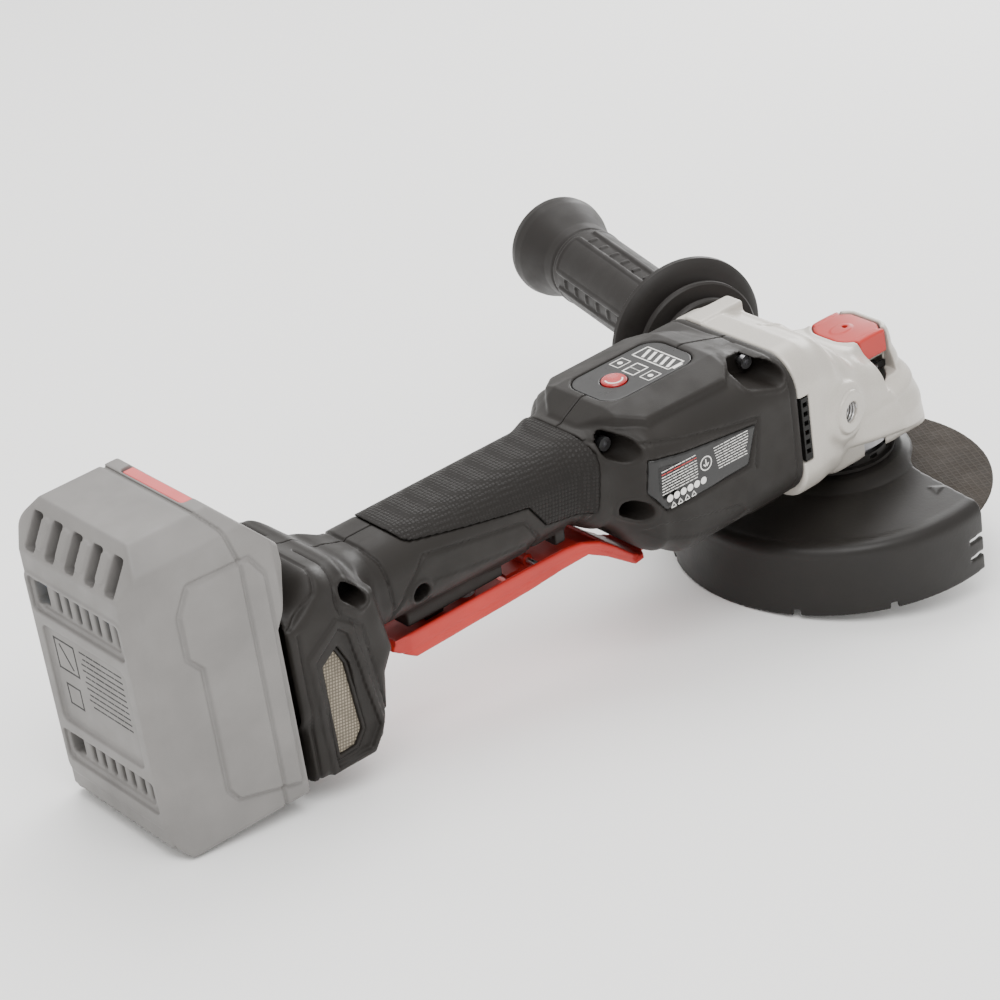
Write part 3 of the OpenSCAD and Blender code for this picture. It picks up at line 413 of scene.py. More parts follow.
def painted_case(name, color):
    """Silver paint over a die casting: a slight flow, fine flakes and a soft clear coat."""
    s = Shader(name, color, 0.42, metallic=0.25, specular=0.5, coat=0.25)
    s.vary(30, 0.04, 0.05)
    tint = s.node("ShaderNodeSeparateColor", {0: s.cells(0.16, "Color")}).outputs[0]
    s.shade = s.mix_color(s.remap(tint, 0, 1, 0, 0.16), s.shade, (0.86, 0.86, 0.84))
    s.bump(s.noise(3.5, 2.0), 0.05, 0.5)
    s.bump(s.noise(0.5, 2.0), 0.012, 0.6)
    return s.finish()


def powder_coat(name, color):
    """Black powder coat with its orange peel."""
    s = Shader(name, color, 0.40, specular=0.28)
    s.vary(30, 0.12, 0.06)
    s.bump(s.noise(1.3, 2.0), 0.05, 0.7)
    s.bump(s.noise(0.35, 2.0), 0.02, 0.6)
    return s.finish()


def abrasive(name, color):
    """Bonded abrasive: grit, and the glass net that shows through it."""
    s = Shader(name, color, 0.85, specular=0.25)
    s.vary(16, 0.16)
    grit = s.cells(0.5)
    net = []
    for angle in (25, 115):
        turn = {"Vector": s.place, "Rotation": (0, 0, math.radians(angle))}
        turned = s.node("ShaderNodeMapping", turn).outputs[0]
        net.append(s.remap(s.waves(2.6, 1.2, 2.0, place=turned), 0.75, 1.0, 0, 1))
    threads = s.math("MAXIMUM", *net)
    s.shade = s.mix_color(s.math("MULTIPLY", threads, 0.35), s.shade, tuple(c * 1.7 for c in color))
    s.shade = s.mix_color(s.remap(s.noise(0.6, 3.0), 0.55, 0.75, 0, 0.5), s.shade, (0.03, 0.027, 0.024))
    s.bump(threads, 0.12, 0.8)
    s.bump(grit, 0.12, 0.9)
    return s.finish()


def woven(name, color):
    """Threads of the dust filter, with painted shade in the gaps between them."""
    s = Shader(name, color, 0.8, specular=0.3)
    s.vary(5, 0.15)
    weave = s.math("MULTIPLY", *[s.waves(1.25, 0.6, 1.0, bands_direction=axis) for axis in ("X", "Z")])
    # painted shade: the gaps between the threads are darkened towards a dark copy of the thread colour
    s.shade = s.mix_color(s.remap(weave, 0.0, 0.6, 0.85, 0), s.shade, tuple(c * 0.28 for c in color))
    s.bump(weave, 0.2, 0.8)
    s.bump(s.noise(0.12, 3.0), 0.03, 0.7)
    return s.finish()


def film(name, color):
    """Printed film with a light texture."""
    s = Shader(name, color, 0.32, specular=0.5)
    s.vary(18, 0.12, 0.06)
    s.bump(s.noise(0.3, 2.0), 0.008, 0.6)
    return s.finish()


def gloss_plastic(name, color):
    """Polished plastic under a thin clear coat."""
    s = Shader(name, color, 0.28, specular=0.55, coat=0.3)
    s.vary(6, 0.10, 0.06)
    s.bump(s.noise(1.0, 3.0), 0.01, 0.6)
    return s.finish()


BLACK = (0.0135, 0.0115, 0.0100)
LOOK = {  # the shades that the studio light needs, where they differ from the record's
    "housing_plastic": BLACK, "filter_frame": BLACK, "rail_plastic": BLACK, "switch_plastic": BLACK,
    "handle_plastic": (0.0150, 0.0130, 0.0120), "grip_rubber": (0.0120, 0.0105, 0.0095),
    # vent_plastic also colours the dark sheets of painted shade in the battery and under the lock button's skirts
    "guard_paint": (0.0110, 0.0095, 0.0085), "vent_plastic": (0.0070, 0.0065, 0.0060),
    "panel_film": (0.0060, 0.0058, 0.0060), "label_film": (0.0060, 0.0058, 0.0058),
    "cast_case": (0.42, 0.39, 0.345), "red_plastic": (0.40, 0.018, 0.012),
    "button_red": (0.40, 0.010, 0.012), "battery_plastic": (0.175, 0.168, 0.162),
    "latch_plastic": (0.62, 0.11, 0.11), "disc_abrasive": (0.035, 0.029, 0.024),
    "filter_mesh": (0.30, 0.26, 0.20),
}
SPECIAL = {
    "grip_rubber": rubber_dots, "cast_case": painted_case, "guard_paint": powder_coat,
    "disc_abrasive": abrasive, "filter_mesh": woven, "panel_film": film, "label_film": film,
    "button_red": gloss_plastic, "board_resin": gloss_plastic, "cell_wrap": gloss_plastic,
}
METAL_ROUGHNESS = {"brushed_steel": 0.34, "aluminium": 0.5, "brass": 0.34}


def material_for(slot):
    """The procedural material of one of the record's slots."""
    color = LOOK.get(slot, tuple(SLOTS[slot]["base_color"]))
    kind = SLOTS[slot]["class"]
    if slot in SPECIAL:
        return SPECIAL[slot](slot, color)
    if kind in METAL_ROUGHNESS:
        return metal(slot, color, METAL_ROUGHNESS[kind])
    if slot == "red_plastic":
        return moulded(slot, color, 0.42, 0.5, 0.02)
    if slot in ("battery_plastic", "latch_plastic"):
        return moulded(slot, color, 0.55, 0.4, 0.03)
    return moulded(slot, color, 0.5, 0.45, 0.035, specular=0.24)


MATERIALS = {slot: material_for(slot) for slot in SLOTS}
PRINT_WHITE = film("print_white", (0.80, 0.79, 0.76))
PRINT_RED = film("print_red", (0.55, 0.03, 0.03))
NODE_SLOT = {p["node"]: p["material_slot"] for p in frame["record"]["subparts"]}

for node, obj in frame["nodes"].items():
    obj.data.materials.clear()
    obj.data.materials.append(MATERIALS[NODE_SLOT[node]])
    obj.data.set_sharp_from_angle(angle=math.radians(32))


def add_field(name, f, distance, slot, body, replaces=(), flip=False, place=TOOL_ARRAY):
    """Meshes a field and adds it as a piece; flip mirrors it to the other side."""
    points, quads = f.mesh(distance)
    if flip:
        points = points * (1, -1, 1)
        quads = quads[:, ::-1]
    return add_mesh(name, points, quads, MATERIALS[slot], body, slot, replaces, place=place)


# ---------- housing ----------

SIDES = (("left", 1), ("right", -1))
HALF_LOW, HALF_HIGH = tool_box("housing_right")
FOOT_REAR, FOOT_LOW = HALF_LOW[0], HALF_LOW[2]
CASE_FRONT = HALF_HIGH[0]
CASE_HALF = -HALF_LOW[1]
BUTTON_X = float(np.mean([corner[0] for corner in tool_box("power_button")]))
GRIP_HALF = 19.5
GRIP_TOP = 32.0
SHELL_WALL = 2.9
MOTOR_BORE = 24.4
BODY_STATIONS = [  # x, half width, bottom, top, corner radius
    (FOOT_REAR, 34, -8, 35.5, 9), (-273, 34, -8, 46, 10), (-261, 32, -6, 42.5, 12),
    (-249, 23.5, -3, 34.5, 14), (-239, GRIP_HALF, -2, GRIP_TOP, 14), (-150, GRIP_HALF, -2, GRIP_TOP, 14),
    (-136, 23.5, -8, 32.5, 14), (-119, 35, -22, 33, 15), (-108, CASE_HALF, -27, 33, 15),
    (CASE_FRONT, CASE_HALF, -27, 33, 15),
]
# outlines seen from the side, as (x, z)
FOOT_SIDE = [
    (FOOT_REAR, -32), (-262, -33), (-256, -28), (-252.5, -18), (-250.5, -4), (-246, 4), (-250, 30),
    (FOOT_REAR, 34),
]
RUBBER_SIDE = [
    (-243, 60), (-241, 52), (-223, 29.5), (-221, 28.5), (-170, 19.5), (-163, 9), (-141, 4.5), (-137.5, 27),
    (-140, 36), (-162, 60),
]
STRIP_SIDE = [(-216, 11.5), (-172, 4.5), (-168.5, -2.5), (-175, -3), (-218, 3.5)]
SURROUND_SIDE = [(-284, 19), (-270, 28.5), (-263, 22.5), (-256.5, -21), (-262, -31), (-281, -31.5)]
WELL_SIDE = [(-281, 16), (-270, 24.5), (-266, 20.5), (-258.5, -21.5), (-263.5, -28.5), (-278.5, -29)]
WINDOW_SIDE = [(-278, 12), (-270.5, 17.5), (-266.5, 8.5), (-264, -20.5), (-268.5, -26.5), (-277.5, -27)]
LABEL_SIDE = [(-123, 21.5), (-72, 15), (-77.5, 0), (-118.5, -1), (-124.5, 8)]
LOW_PANEL_SIDE = [(-127, -8), (-122, -5.5), (-84, -14), (-78, -20), (-84, -24), (-120, -13)]
DOME_PLAN = [
    (-135, -9), (-135, 8), (-126, 19.5), (-117, 27.5), (-78, 28.5), (-69, 19.5), (-51, 14), (-51, -9),
]
AREAS = [  # outline, growth, height (sunk below zero), width of its edge, only on the flank
    (RUBBER_SIDE, 0.3, -1.3, 0.5, False), (STRIP_SIDE, 0, 0.6, 0.7, True),
    (SURROUND_SIDE, 0, 0.9, 0.7, True), (WELL_SIDE, 0, -1.7, 0.7, True),
    (LABEL_SIDE, 0.4, -1.2, 0.7, True), (LOW_PANEL_SIDE, 0, -0.7, 0.7, True),
]
GROOVES = [  # line, depth, width, only on the flank
    ([(-234, 6), (-218.5, 22.5), (-173, 14.5), (-166, 4), (-167, -6)], 0.9, 1.0, True),
    ([(-253, 52), (-243, 40), (-236, 27), (-234.5, 8), (-235.5, -6)], 0.9, 1.0, False),
    ([(-144, 36), (-141, 20), (-142, 4), (-146, -3)], 0.7, 0.9, True),
    ([(-288, 32), (-275, 40), (-271, 47)], 0.9, 1.0, True),
    ([(-264, 44), (-268, 33), (-267, 28), (-259, 20), (-254, -20)], 0.8, 0.9, True),
    ([(-146, 0), (-144, 29), (-140, 31), (-71, 17.5), (-74, -2)], 0.8, 0.9, True),
]
SCREW_WELLS = [  # both ends of its mouth, radius, depth from the middle plane
    ([(-222, 9), (-222, 9)], 3.6, 8), ([(-130.5, 27.5), (-128.5, 26.5)], 4.6, 8),
    ([(-68, 31.5), (-57.5, 28.5)], 4.2, 14), ([(-129, 2), (-127, 1)], 3.8, 12),
    ([(-262, 34), (-257.5, 29.5)], 3.0, 14),
]


def dome(f):
    """Raised top of the motor housing, which carries the control panel."""
    w = np.abs(f.y)
    plan = outline(f.x, w, DOME_PLAN)
    top = 38.7 - np.maximum(0, (w - 14.5) * 0.30) - np.maximum(0, (f.x + 73) * 0.27)
    top = top - np.maximum(0, (-125 - f.x) * 0.55)
    top = top - np.maximum(0, (f.x + 66) * 0.35 * (w / 24))
    return common(plan, (f.z - top) * 0.95, 20 - f.z, blend=1.6)


def handle_and_barrel(f):
    """Solid shape of the whole body, before its details."""
    body = common(loft_x(f, BODY_STATIONS), span(f.x, FOOT_REAR, CASE_FRONT), blend=1.6)
    foot = common(f.side(FOOT_SIDE), np.abs(f.y) - 34, blend=6.0)
    keel = common(span(f.x, -225.5, -150), block(f.y, f.z, (0, -1), (12.5, 6), 1.5), blend=1.0)
    pad = common(span(f.x, -68, CASE_FRONT), block(f.y, f.z, (0, -20), (23, 13), 5), blend=3.0)
    body = join(body, foot, blend=6.0)
    body = join(body, keel, pad, blend=2.5)
    return join(body, dome(f), blend=1.2)


def housing_half(word, side):
    """One shell of the clamshell; the screws go in from the right."""
    f = Field((FOOT_REAR, 0, FOOT_LOW - 2), (CASE_FRONT, CASE_HALF + 1, 49), 0.62)
    w = f.y
    bare = handle_and_barrel(f)
    d = bare
    outer = (w > 8).astype(np.float32)
    for points, growth, height, edge, flank in AREAS:
        d = stamp(d, f.side(points) - growth, height * outer if flank else height, edge)
    for points, depth, width, flank in GROOVES:
        d = score(d, f.line(points), depth, width, outer if flank else 1.0)
    # rear line of the foot, and the front bumper band
    d = score(d, np.abs(f.x + 285.5), 0.7, 0.9, f.z < 30)
    d = score(d, np.abs(f.x + 53.5), 0.6, 0.8)
    if side < 0:
        for points, radius, depth in SCREW_WELLS:
            away = f.line(points) - radius
            d = stamp(d, away - 1.7, 0.5 * outer, 1.0)
            d = cut(d, common(away, depth - w), blend=0.8)
    d = cut(
        d,
        common(f.side(WINDOW_SIDE), 29 - w),  # window of the dust filter
        common(block(f.x, f.y, (-99, 0), (23, 13.6), 8), 37.4 - f.z),  # seat of the control panel
        common(np.hypot(f.x - BUTTON_X, f.y) - 6, 25 - f.z),  # hole of the power button
        common(span(f.x, -80, -70.5), span(f.z, -40, -25.5), w - 7),  # pocket of the paddle's pivot
        common(span(f.x, -181, -155), span(f.z, -12, -2), w - 14),  # room for the lock-off lever
        # air slots under the barrel
        *[common(block(f.x, w, (x, 20), (1.1, 6), 1), f.z + 20) for x in range(-104, -84, 5)],
    )
    # hollow inside, with the walls of the screw wells left standing
    hollow = np.maximum(bare + SHELL_WALL, f.x - CASE_FRONT - 1)
    for points, radius, _ in SCREW_WELLS:
        hollow = np.maximum(hollow, radius + 1.7 - f.line(points))
    motor = common(np.hypot(f.y, f.z) - MOTOR_BORE, span(f.x, -104, CASE_FRONT + 3))
    d = common(cut(d, np.minimum(hollow, motor)), 0.06 - w)
    add_field(f"housing_{word}_shell", f, d, "housing_plastic", "tool", ["housing_" + word], flip=side < 0)
    return f, bare


def housing():
    """Both shells, the rubber cover that goes over them, and the rating label."""
    g = Field((-245, -23, -3), (-134, 23, 37), 0.6)
    bare = handle_and_barrel(g)
    cover = common(g.side(RUBBER_SIDE), bare - 0.55, -(bare + 1.6), blend=0.35)
    add_field("rubber_cover", g, cover, "grip_rubber", "tool", ["rubber_grip"])
    for word, side in SIDES:
        f, bare = housing_half(word, side)
    label = common(f.side(LABEL_SIDE), bare + 0.55, -(bare + 2.2), 20 - f.y, blend=0.3)
    add_field("rating_label", f, label, "label_film", "tool", ["rating_plate"], flip=True)


# ---------- prints and turned pieces ----------


def rounded(cx, cy, hx, hy, radius, steps=6):
    """Points of a rounded rectangle, anticlockwise."""
    points = []
    for sx, sy, start in ((1, 1, 0), (-1, 1, 90), (-1, -1, 180), (1, -1, 270)):
        x, y = cx + sx * (hx - radius), cy + sy * (hy - radius)
        for i in range(steps + 1):
            a = math.radians(start + 90 * i / steps)
            points.append((x + radius * math.cos(a), y + radius * math.sin(a)))
    return points


def dot(cx, cy, radius, sides):
    """Points of a small disc, anticlockwise."""
    turns = [2 * math.pi * i / sides for i in range(sides)]
    return [(cx + radius * math.cos(a), cy + radius * math.sin(a)) for a in turns]


def arc(cx, cy, inner, outer, start, stop, step):
    """Short pieces of a flat ring, from one angle to another."""
    pieces = []
    for angle in range(start, stop, step):
        a, b = math.radians(angle), math.radians(angle + step)
        corners = ((inner, a), (outer, a), (outer, b), (inner, b))
        pieces.append([(cx + r * math.cos(t), cy + r * math.sin(t)) for r, t in corners])
    return pieces


def bar(ax, ay, bx, by, width):
    """Four corners of a straight printed line."""
    dx, dy = bx - ax, by - ay
    length = math.hypot(dx, dy)
    ex, ey = dx / length * width / 2, dy / length * width / 2
    nx, ny = -ey, ex
    return [
        (ax - ex - nx, ay - ey - ny), (bx + ex - nx, by + ey - ny),
        (bx + ex + nx, by + ey + ny), (ax - ex + nx, ay - ey + ny),
    ]


def box_lines(x0, x1, y0, y1, width):
    """The four sides of a printed box."""
    corners = [(x0, y0), (x1, y0), (x1, y1), (x0, y1)]
    return [bar(*a, *b, width) for a, b in zip(corners, corners[1:] + corners[:1])]


def prism(loops, low, high, lift):
    """Points and faces of flat outlines with a thickness; lift turns (u, v, height) into a place."""
    points, faces = [], []
    for loop in loops:
        base, n = len(points), len(loop)
        points += [lift(u, v, height) for height in (low, high) for u, v in loop]
        sides = [(i, (i + 1) % n, n + (i + 1) % n, n + i) for i in range(n)]
        ends = [tuple(reversed(range(n))), tuple(range(n, 2 * n))]
        faces += [tuple(base + i for i in face) for face in ends + sides]
    return np.array(points, float), faces


def merged(name, loops, low, high, material, body, slot, lift=lambda x, y, z: (x, y, z)):
    """Several flat outlines, each a thin raised print, in one piece."""
    return add_mesh(name, *prism(loops, low, high, lift), material, body, slot, smooth=False)


def lathe(name, profile, steps, body, slot, replaces, centre_x=0.0, place=TOOL_ARRAY, capped=True):
    """Turns a profile of (radius, height) round an axis; heights rise along the axis."""
    angles = np.arange(steps) * 2 * math.pi / steps
    rows = []
    for radius, height in profile:
        x, y = centre_x + radius * np.cos(angles), radius * np.sin(angles)
        rows.append(np.stack([x, y, np.full(steps, height)], 1))
    points = np.concatenate(rows)
    faces = []
    for base in range(0, (len(profile) - 1) * steps, steps):
        for j in range(steps):
            k = (j + 1) % steps
            faces.append((base + j, base + k, base + steps + k, base + steps + j))
    last = (len(profile) - 1) * steps
    if capped:
        faces.append(tuple(reversed(range(steps))))
        faces.append(tuple(last + j for j in range(steps)))
    else:  # the profile is a closed loop, so its last ring is its first
        points = points[:last]
        faces = [tuple(k % last for k in face) for face in faces]
    obj = add_mesh(name, points, faces, MATERIALS[slot], body, slot, replaces, place=place)
    obj.data.set_sharp_from_angle(angle=math.radians(34))


# ---------- control panel ----------

PANEL_TOP = 38.3
PRINT_LOW, PRINT_HIGH = PANEL_TOP - 0.05, PANEL_TOP + 0.06


def panel():
    """Film panel with its generic pictograms, and the round power button."""
    f = Field((-122, -14, 36.5), (-76, 14, 38.6), 0.3)
    sheet = common(
        block(f.x, f.y, (-99, 0), (22.7, 13.3), 7.8), span(f.z, PANEL_TOP - 1.2, PANEL_TOP), blend=0.4
    )
    sheet = cut(sheet, np.hypot(f.x - BUTTON_X, f.y) - 5.4, blend=0.2)
    add_field("panel_plate", f, sheet, "panel_film", "tool", ["control_panel"])
    line = 0.55
    prints = box_lines(-90, -82, -10.5, 9.5, line)
    prints += [bar(-84.2, -11.4, -87.8, -11.4, 1.1)]
    prints += [bar(-88.4, y - 0.9, -83.6, y + 0.9, 1.25) for y in (-7.6, -4.2, -0.8, 2.6, 6.0)]
    prints += box_lines(-101, -97.2, -3, 3, line) + box_lines(-97.2, -93.4, -3, 3, line)
    merged("panel_print", prints, PRINT_LOW, PRINT_HIGH, PRINT_WHITE, "tool", "panel_film")
    small = box_lines(-100.4, -94, 6, 11, 0.35) + box_lines(-100.4, -94, -11, -6, 0.35)
    small += [dot(-97.2, y, 1.1, 16) for y in (8.5, -8.5)]
    merged("panel_small_print", small, PRINT_LOW, PRINT_HIGH, PRINT_WHITE, "tool", "panel_film")
    rings = [(5.0, -8), (5.0, 0.15), (4.6, 0.6), (3.4, 0.45), (1.5, 0.2), (0.0, 0.12)]
    profile = [(r, PANEL_TOP + h) for r, h in rings]
    lathe("power_cap", profile, 40, "power_button", "button_red", ["power_button"], centre_x=BUTTON_X)
    mark = arc(BUTTON_X, 0, 3.0, 3.6, 150, 330, 10)
    low, high = PANEL_TOP + 0.3, PANEL_TOP + 0.62
    merged("power_mark", mark, low, high, PRINT_WHITE, "power_button", "button_red")


# ---------- rating label ----------

LABEL_RING = (-98.5, 10.5)


def label_print():
    """Rows of plain dashes, round pictograms and triangles: no lettering."""
    surface = -(CASE_HALF - 0.62)
    tilt = -0.02
    rng = np.random.default_rng(4)

    def lift(x, z, out):
        return (x, surface - out, z)

    def row(x0, x1, z):
        dashes = []
        x = x0
        while x < x1:
            end = min(x + rng.uniform(0.8, 3.2), x1)
            dashes.append(bar(x, z + tilt * (x - x0), end, z + tilt * (end - x0), 0.30))
            x = end + 0.7
        return dashes

    white, red = [], []
    for i, z in enumerate(np.arange(16.4, 6.5, -1.15)):
        target = red if i == 1 else white
        target += row(-120 - 0.1 * i, -103, z)
        white += row(-94 + 0.2 * i, -77 + (0.3 if i < 5 else -1.0), z - 1.6)
    white += [dot(-117.6 + 3.4 * i, 4.4 - 0.05 * i, 1.45, 18) for i in range(6)]
    for i in range(4):
        x, low, high = -116.2 + 3.4 * i, 0.2, 2.2
        corners = [(x - 1.2, low), (x + 1.2, low), (x, high), (x - 1.2, low)]
        white += [bar(*a, *b, 0.3) for a, b in zip(corners, corners[1:])]
    x, z = LABEL_RING
    white += arc(x, z, 2.5, 2.95, 0, 360, 15)
    white += [bar(x, 12, x, 9.2, 0.5), bar(x - 1.1, 10.2, x, 9.0, 0.5), bar(x, 9.0, x + 1.1, 10.2, 0.5)]
    merged("label_white", white, 0, 0.12, PRINT_WHITE, "tool", "label_film", lift)
    merged("label_red", red, 0, 0.12, PRINT_RED, "tool", "label_film", lift)


# ---------- dust filters ----------


def weave(name, side, replaced):
    """Wavy cloth of crossed threads, cut to the window."""
    pitch = 1.5
    step = pitch / 7
    gx, gz = np.meshgrid(np.arange(-278.5, -263.2, step), np.arange(-27.5, 18.0, step), indexing="ij")
    u, v = gx / pitch * math.pi, gz / pitch * math.pi
    crossing = 0.16 * np.sin(u) * np.sin(v)
    warp = np.abs(np.cos(u)) ** 0.5 * 0.30 + crossing
    weft = np.abs(np.cos(v)) ** 0.5 * 0.30 - crossing
    points = np.stack([gx, side * (31.1 + np.maximum(warp, weft)), gz], -1).reshape(-1, 3)
    index = np.arange(gx.size).reshape(gx.shape)
    quads = np.stack([index[:-1, :-1], index[1:, :-1], index[1:, 1:], index[:-1, 1:]], -1).reshape(-1, 4)
    middle = points[quads].mean(1)
    quads = quads[outline(middle[:, 0], middle[:, 2], WINDOW_SIDE) < -0.4]
    used, quads = np.unique(quads, return_inverse=True)
    quads = quads.reshape(-1, 4)[:, :: -side]
    cloth = add_mesh(name, points[used], quads, MATERIALS["filter_mesh"], "tool", "filter_mesh", replaced)
    thick = cloth.modifiers.new("thick", "SOLIDIFY")
    thick.thickness = 0.25 * MM


def filters():
    """Woven mesh and its frame, on each side of the foot."""
    for word, side in SIDES:
        f = Field((-281, 28, -30), (-260, 34.5, 21), 0.42)
        window = f.side(WINDOW_SIDE)
        ring = common(window - 0.2, -(window + 1.3), f.y - 32.9, 30.2 - f.y, blend=0.4)
        replaced = ["filter_frame_" + word]
        add_field("filter_rim_" + word, f, ring, "filter_frame", "tool", replaced, flip=side < 0)
        weave("filter_weave_" + word, side, ["filter_mesh_" + word])


# ---------- gear case and lock button ----------

HEAD_STATIONS = [  # height, centre x, half length, half width, corner radius
    (-34, 4.0, 32.8, 30.5, 25), (-22, 3.5, 32.2, 30.0, 25), (-13, 3.0, 30.5, 26.5, 22),
    (-6, 6.0, 24.0, 17.5, 13), (2, 8.5, 18.5, 15.0, 9), (9.6, 9.0, 16.5, 14.4, 8),
]
CASE_STATIONS = [  # x, half width, bottom, top, corner radius
    (CASE_FRONT, CASE_HALF, -31, 33, 15), (-41, CASE_HALF, -31, 33, 15), (-30, 34.5, -31, 30, 15),
    (-18, 30, -31, 19, 14), (-6, 29, -31, 9, 13), (6, 28, -31, 4, 12),
]
LUG_SIDE = [(-31, -2), (-14, -2), (-18, -15), (-30, -13)]
SHELF_SIDE = [(-44, -34), (-20, -22.5), (2, -26), (30, -31), (30, -40), (-44, -40)]
LEAN = math.atan2(*[float(c) for c in (TURN.inverted() @ HANDLE_AXIS)[:2]])
BOSS = (-22.4, 36.1, -2.0)
PIN_LOW, PIN_HIGH = tool_box("lock_pin")
PIN_X, PIN_R = (PIN_LOW[0] + PIN_HIGH[0]) / 2, (PIN_HIGH[0] - PIN_LOW[0]) / 2


def boss_frame(f):
    """Distances along and away from the side handle's axis, mirrored onto the +Y side."""
    w = np.abs(f.y)
    ax, ay = math.sin(LEAN), math.cos(LEAN)
    along = (f.x - BOSS[0]) * ax + (w - BOSS[1]) * ay
    across = (f.x - BOSS[0]) * ay - (w - BOSS[1]) * ax
    return along, np.hypot(across, f.z - BOSS[2])


def loft_z(f, stations):
    """Rounded sections along Z: height, centre x, half length, half width, corner radius."""
    centre, half, wide, radius = (eased(f.z, stations, c) for c in (1, 2, 3, 4))
    return block(f.x - centre, f.y, (0, 0), (half, wide), radius)


def button_plan(f, grow):
    """Outline of the lock button from above, grown by so much."""
    plan = block(f.x, np.abs(f.y), (12.2, 0), (11.0, 12.2), 8.5)
    return np.maximum(plan, f.x - 22.6) - grow


def gear_case():
    """Die-cast head: lofted body and nose, seats of the side handle, well of the lock button."""
    f = Field((CASE_FRONT, -CASE_HALF - 1, -36), (38.5, CASE_HALF + 1, 34.5), 0.5)
    w = np.abs(f.y)
    body = common(loft_x(f, CASE_STATIONS), span(f.x, CASE_FRONT, 8), blend=2.0)
    head = common(loft_z(f, HEAD_STATIONS), span(f.z, -34, 8.6), blend=2.2)
    d = join(body, head, blend=7.0)
    # raised ledge on top of the left shoulder, and a rib that runs down to the nose
    ledge = common(span(f.x, CASE_FRONT, -27), span(f.y, 15, 24), span(f.z, 24, 33.6), blend=1.2)
    d = join(d, ledge, blend=1.5)
    bend = 0.55 * (f.x + 34) * (f.x > -34)
    rib = common(np.abs(f.y + bend + 3) - 1.1, span(f.x, -36, -12), f.z - 34)
    d = stamp(d, rib, 0.7, 1.6)
    # seat pads of the side handle, and the lug under each
    along, away = boss_frame(f)
    d = join(d, common(away - 11.5, span(along, -16, -1.6), blend=2.0), blend=4.0)
    d = join(d, common(away - 8.7, span(along, -14, 0.0), blend=0.9), blend=0.8)
    d = join(d, common(f.side(LUG_SIDE), w - 32.5, 20 - w, blend=2.0), blend=4.0)
    d = cut(d, common(away - 4.1, span(along, -13, 3)), blend=0.5)
    # chamfer between the flank and the lower nose, and the shelf over the collar
    d = cut(d, common(f.side(SHELF_SIDE), 24 - w), blend=2.5)
    # lip round the lock button, its well, the slots of its skirts, and the hole of its pin
    d = join(d, common(button_plan(f, 2.3), span(f.z, 2, 9.4), w - 14.4, blend=1.2), blend=1.5)
    d = cut(d, common(button_plan(f, 0.6), 3 - f.z), blend=0.5)
    d = cut(d, common(span(f.x, 5.2, 21.2), 11.0 - w, span(f.z, -8.0, 12)), blend=0.8)
    from_pin = np.hypot(f.x - PIN_X, f.y)
    d = cut(d, from_pin - PIN_R - 0.5, common(from_pin - 4.0, 1.5 - f.z))
    # cooling slots at the flange
    d = cut(d, common(span(f.x, -50.5, -44.4), span(f.z, -12.5, 15.5), CASE_HALF - 5 - w), blend=0.6)
    from_spindle = np.hypot(f.x, f.y)
    d = cut(
        d,
        # hollow for the gears, open underneath
        common(from_spindle - 24.2, span(f.z, -40, -20)),
        common(from_spindle - 23.0, span(f.z, -21, -3)),
        common(np.hypot(f.y, f.z) - 12.6, span(f.x, -44, -20)),
        # seat of the inner cover, and the notch of the guard lever
        common(span(f.x, -52, -44), block(f.y, f.z, (0, 1), (CASE_HALF - 5, 26), 10)),
        common(span(f.x, 20, 40), w - 4.6, f.z + 25),
    )
    # screw head wells in the flange corners
    heads = [np.hypot(w - 24, f.z - z) - 3.6 for z in (22, -19)]
    d = cut(d, *[common(head, span(f.x, -38.5, -20)) for head in heads], blend=0.6)
    add_field("gear_case_casting", f, d, "cast_case", "tool", ["gear_case"])
    for word, side in SIDES:
        coil_thread("handle_seat_thread_" + word, side)


def coil_thread(name, side):
    """Helical thread inside a side handle seat."""
    turns, per_turn = 9, 28
    pitch, crest, root, half = 1.25, 3.55, 4.3, 0.55
    axis = np.array([math.sin(LEAN), side * math.cos(LEAN), 0])
    across = np.array([math.cos(LEAN), -side * math.sin(LEAN), 0])
    start = np.array([BOSS[0], side * BOSS[1], BOSS[2]])
    points, faces = [], []
    count = turns * per_turn
    for i in range(count + 1):
        a = 2 * math.pi * i / per_turn
        out = across * math.cos(a) + np.array([0, 0, 1]) * math.sin(a)
        middle = start - axis * (0.8 + pitch * i / per_turn)
        points += [middle + out * root - axis * half, middle + out * crest, middle + out * root + axis * half]
    for b in range(0, 3 * count, 3):
        faces += [(b, b + 1, b + 4, b + 3), (b + 1, b + 2, b + 5, b + 4)]
    add_mesh(name, np.array(points), faces, MATERIALS["shaft_steel"], "tool", "shaft_steel")


def slot_shade_strip(name, side):
    """Dark strip in the slot under one skirt of the lock button: painted shade in the gap."""
    points, faces = prism(
        [rounded(13.2, -6.2, 7.6, 1.5, 0.6)], 0, 0.8, lambda x, z, out: (x, side * (11.2 + out), z)
    )
    obj = add_mesh(name, points, faces, MATERIALS["vent_plastic"], "tool", "vent_plastic")
    obj.data.set_sharp_from_angle(angle=math.radians(35))
    edge = obj.modifiers.new("edge", "BEVEL")
    edge.width = 0.1 * MM
    edge.segments = 3
    edge.limit_method = "ANGLE"


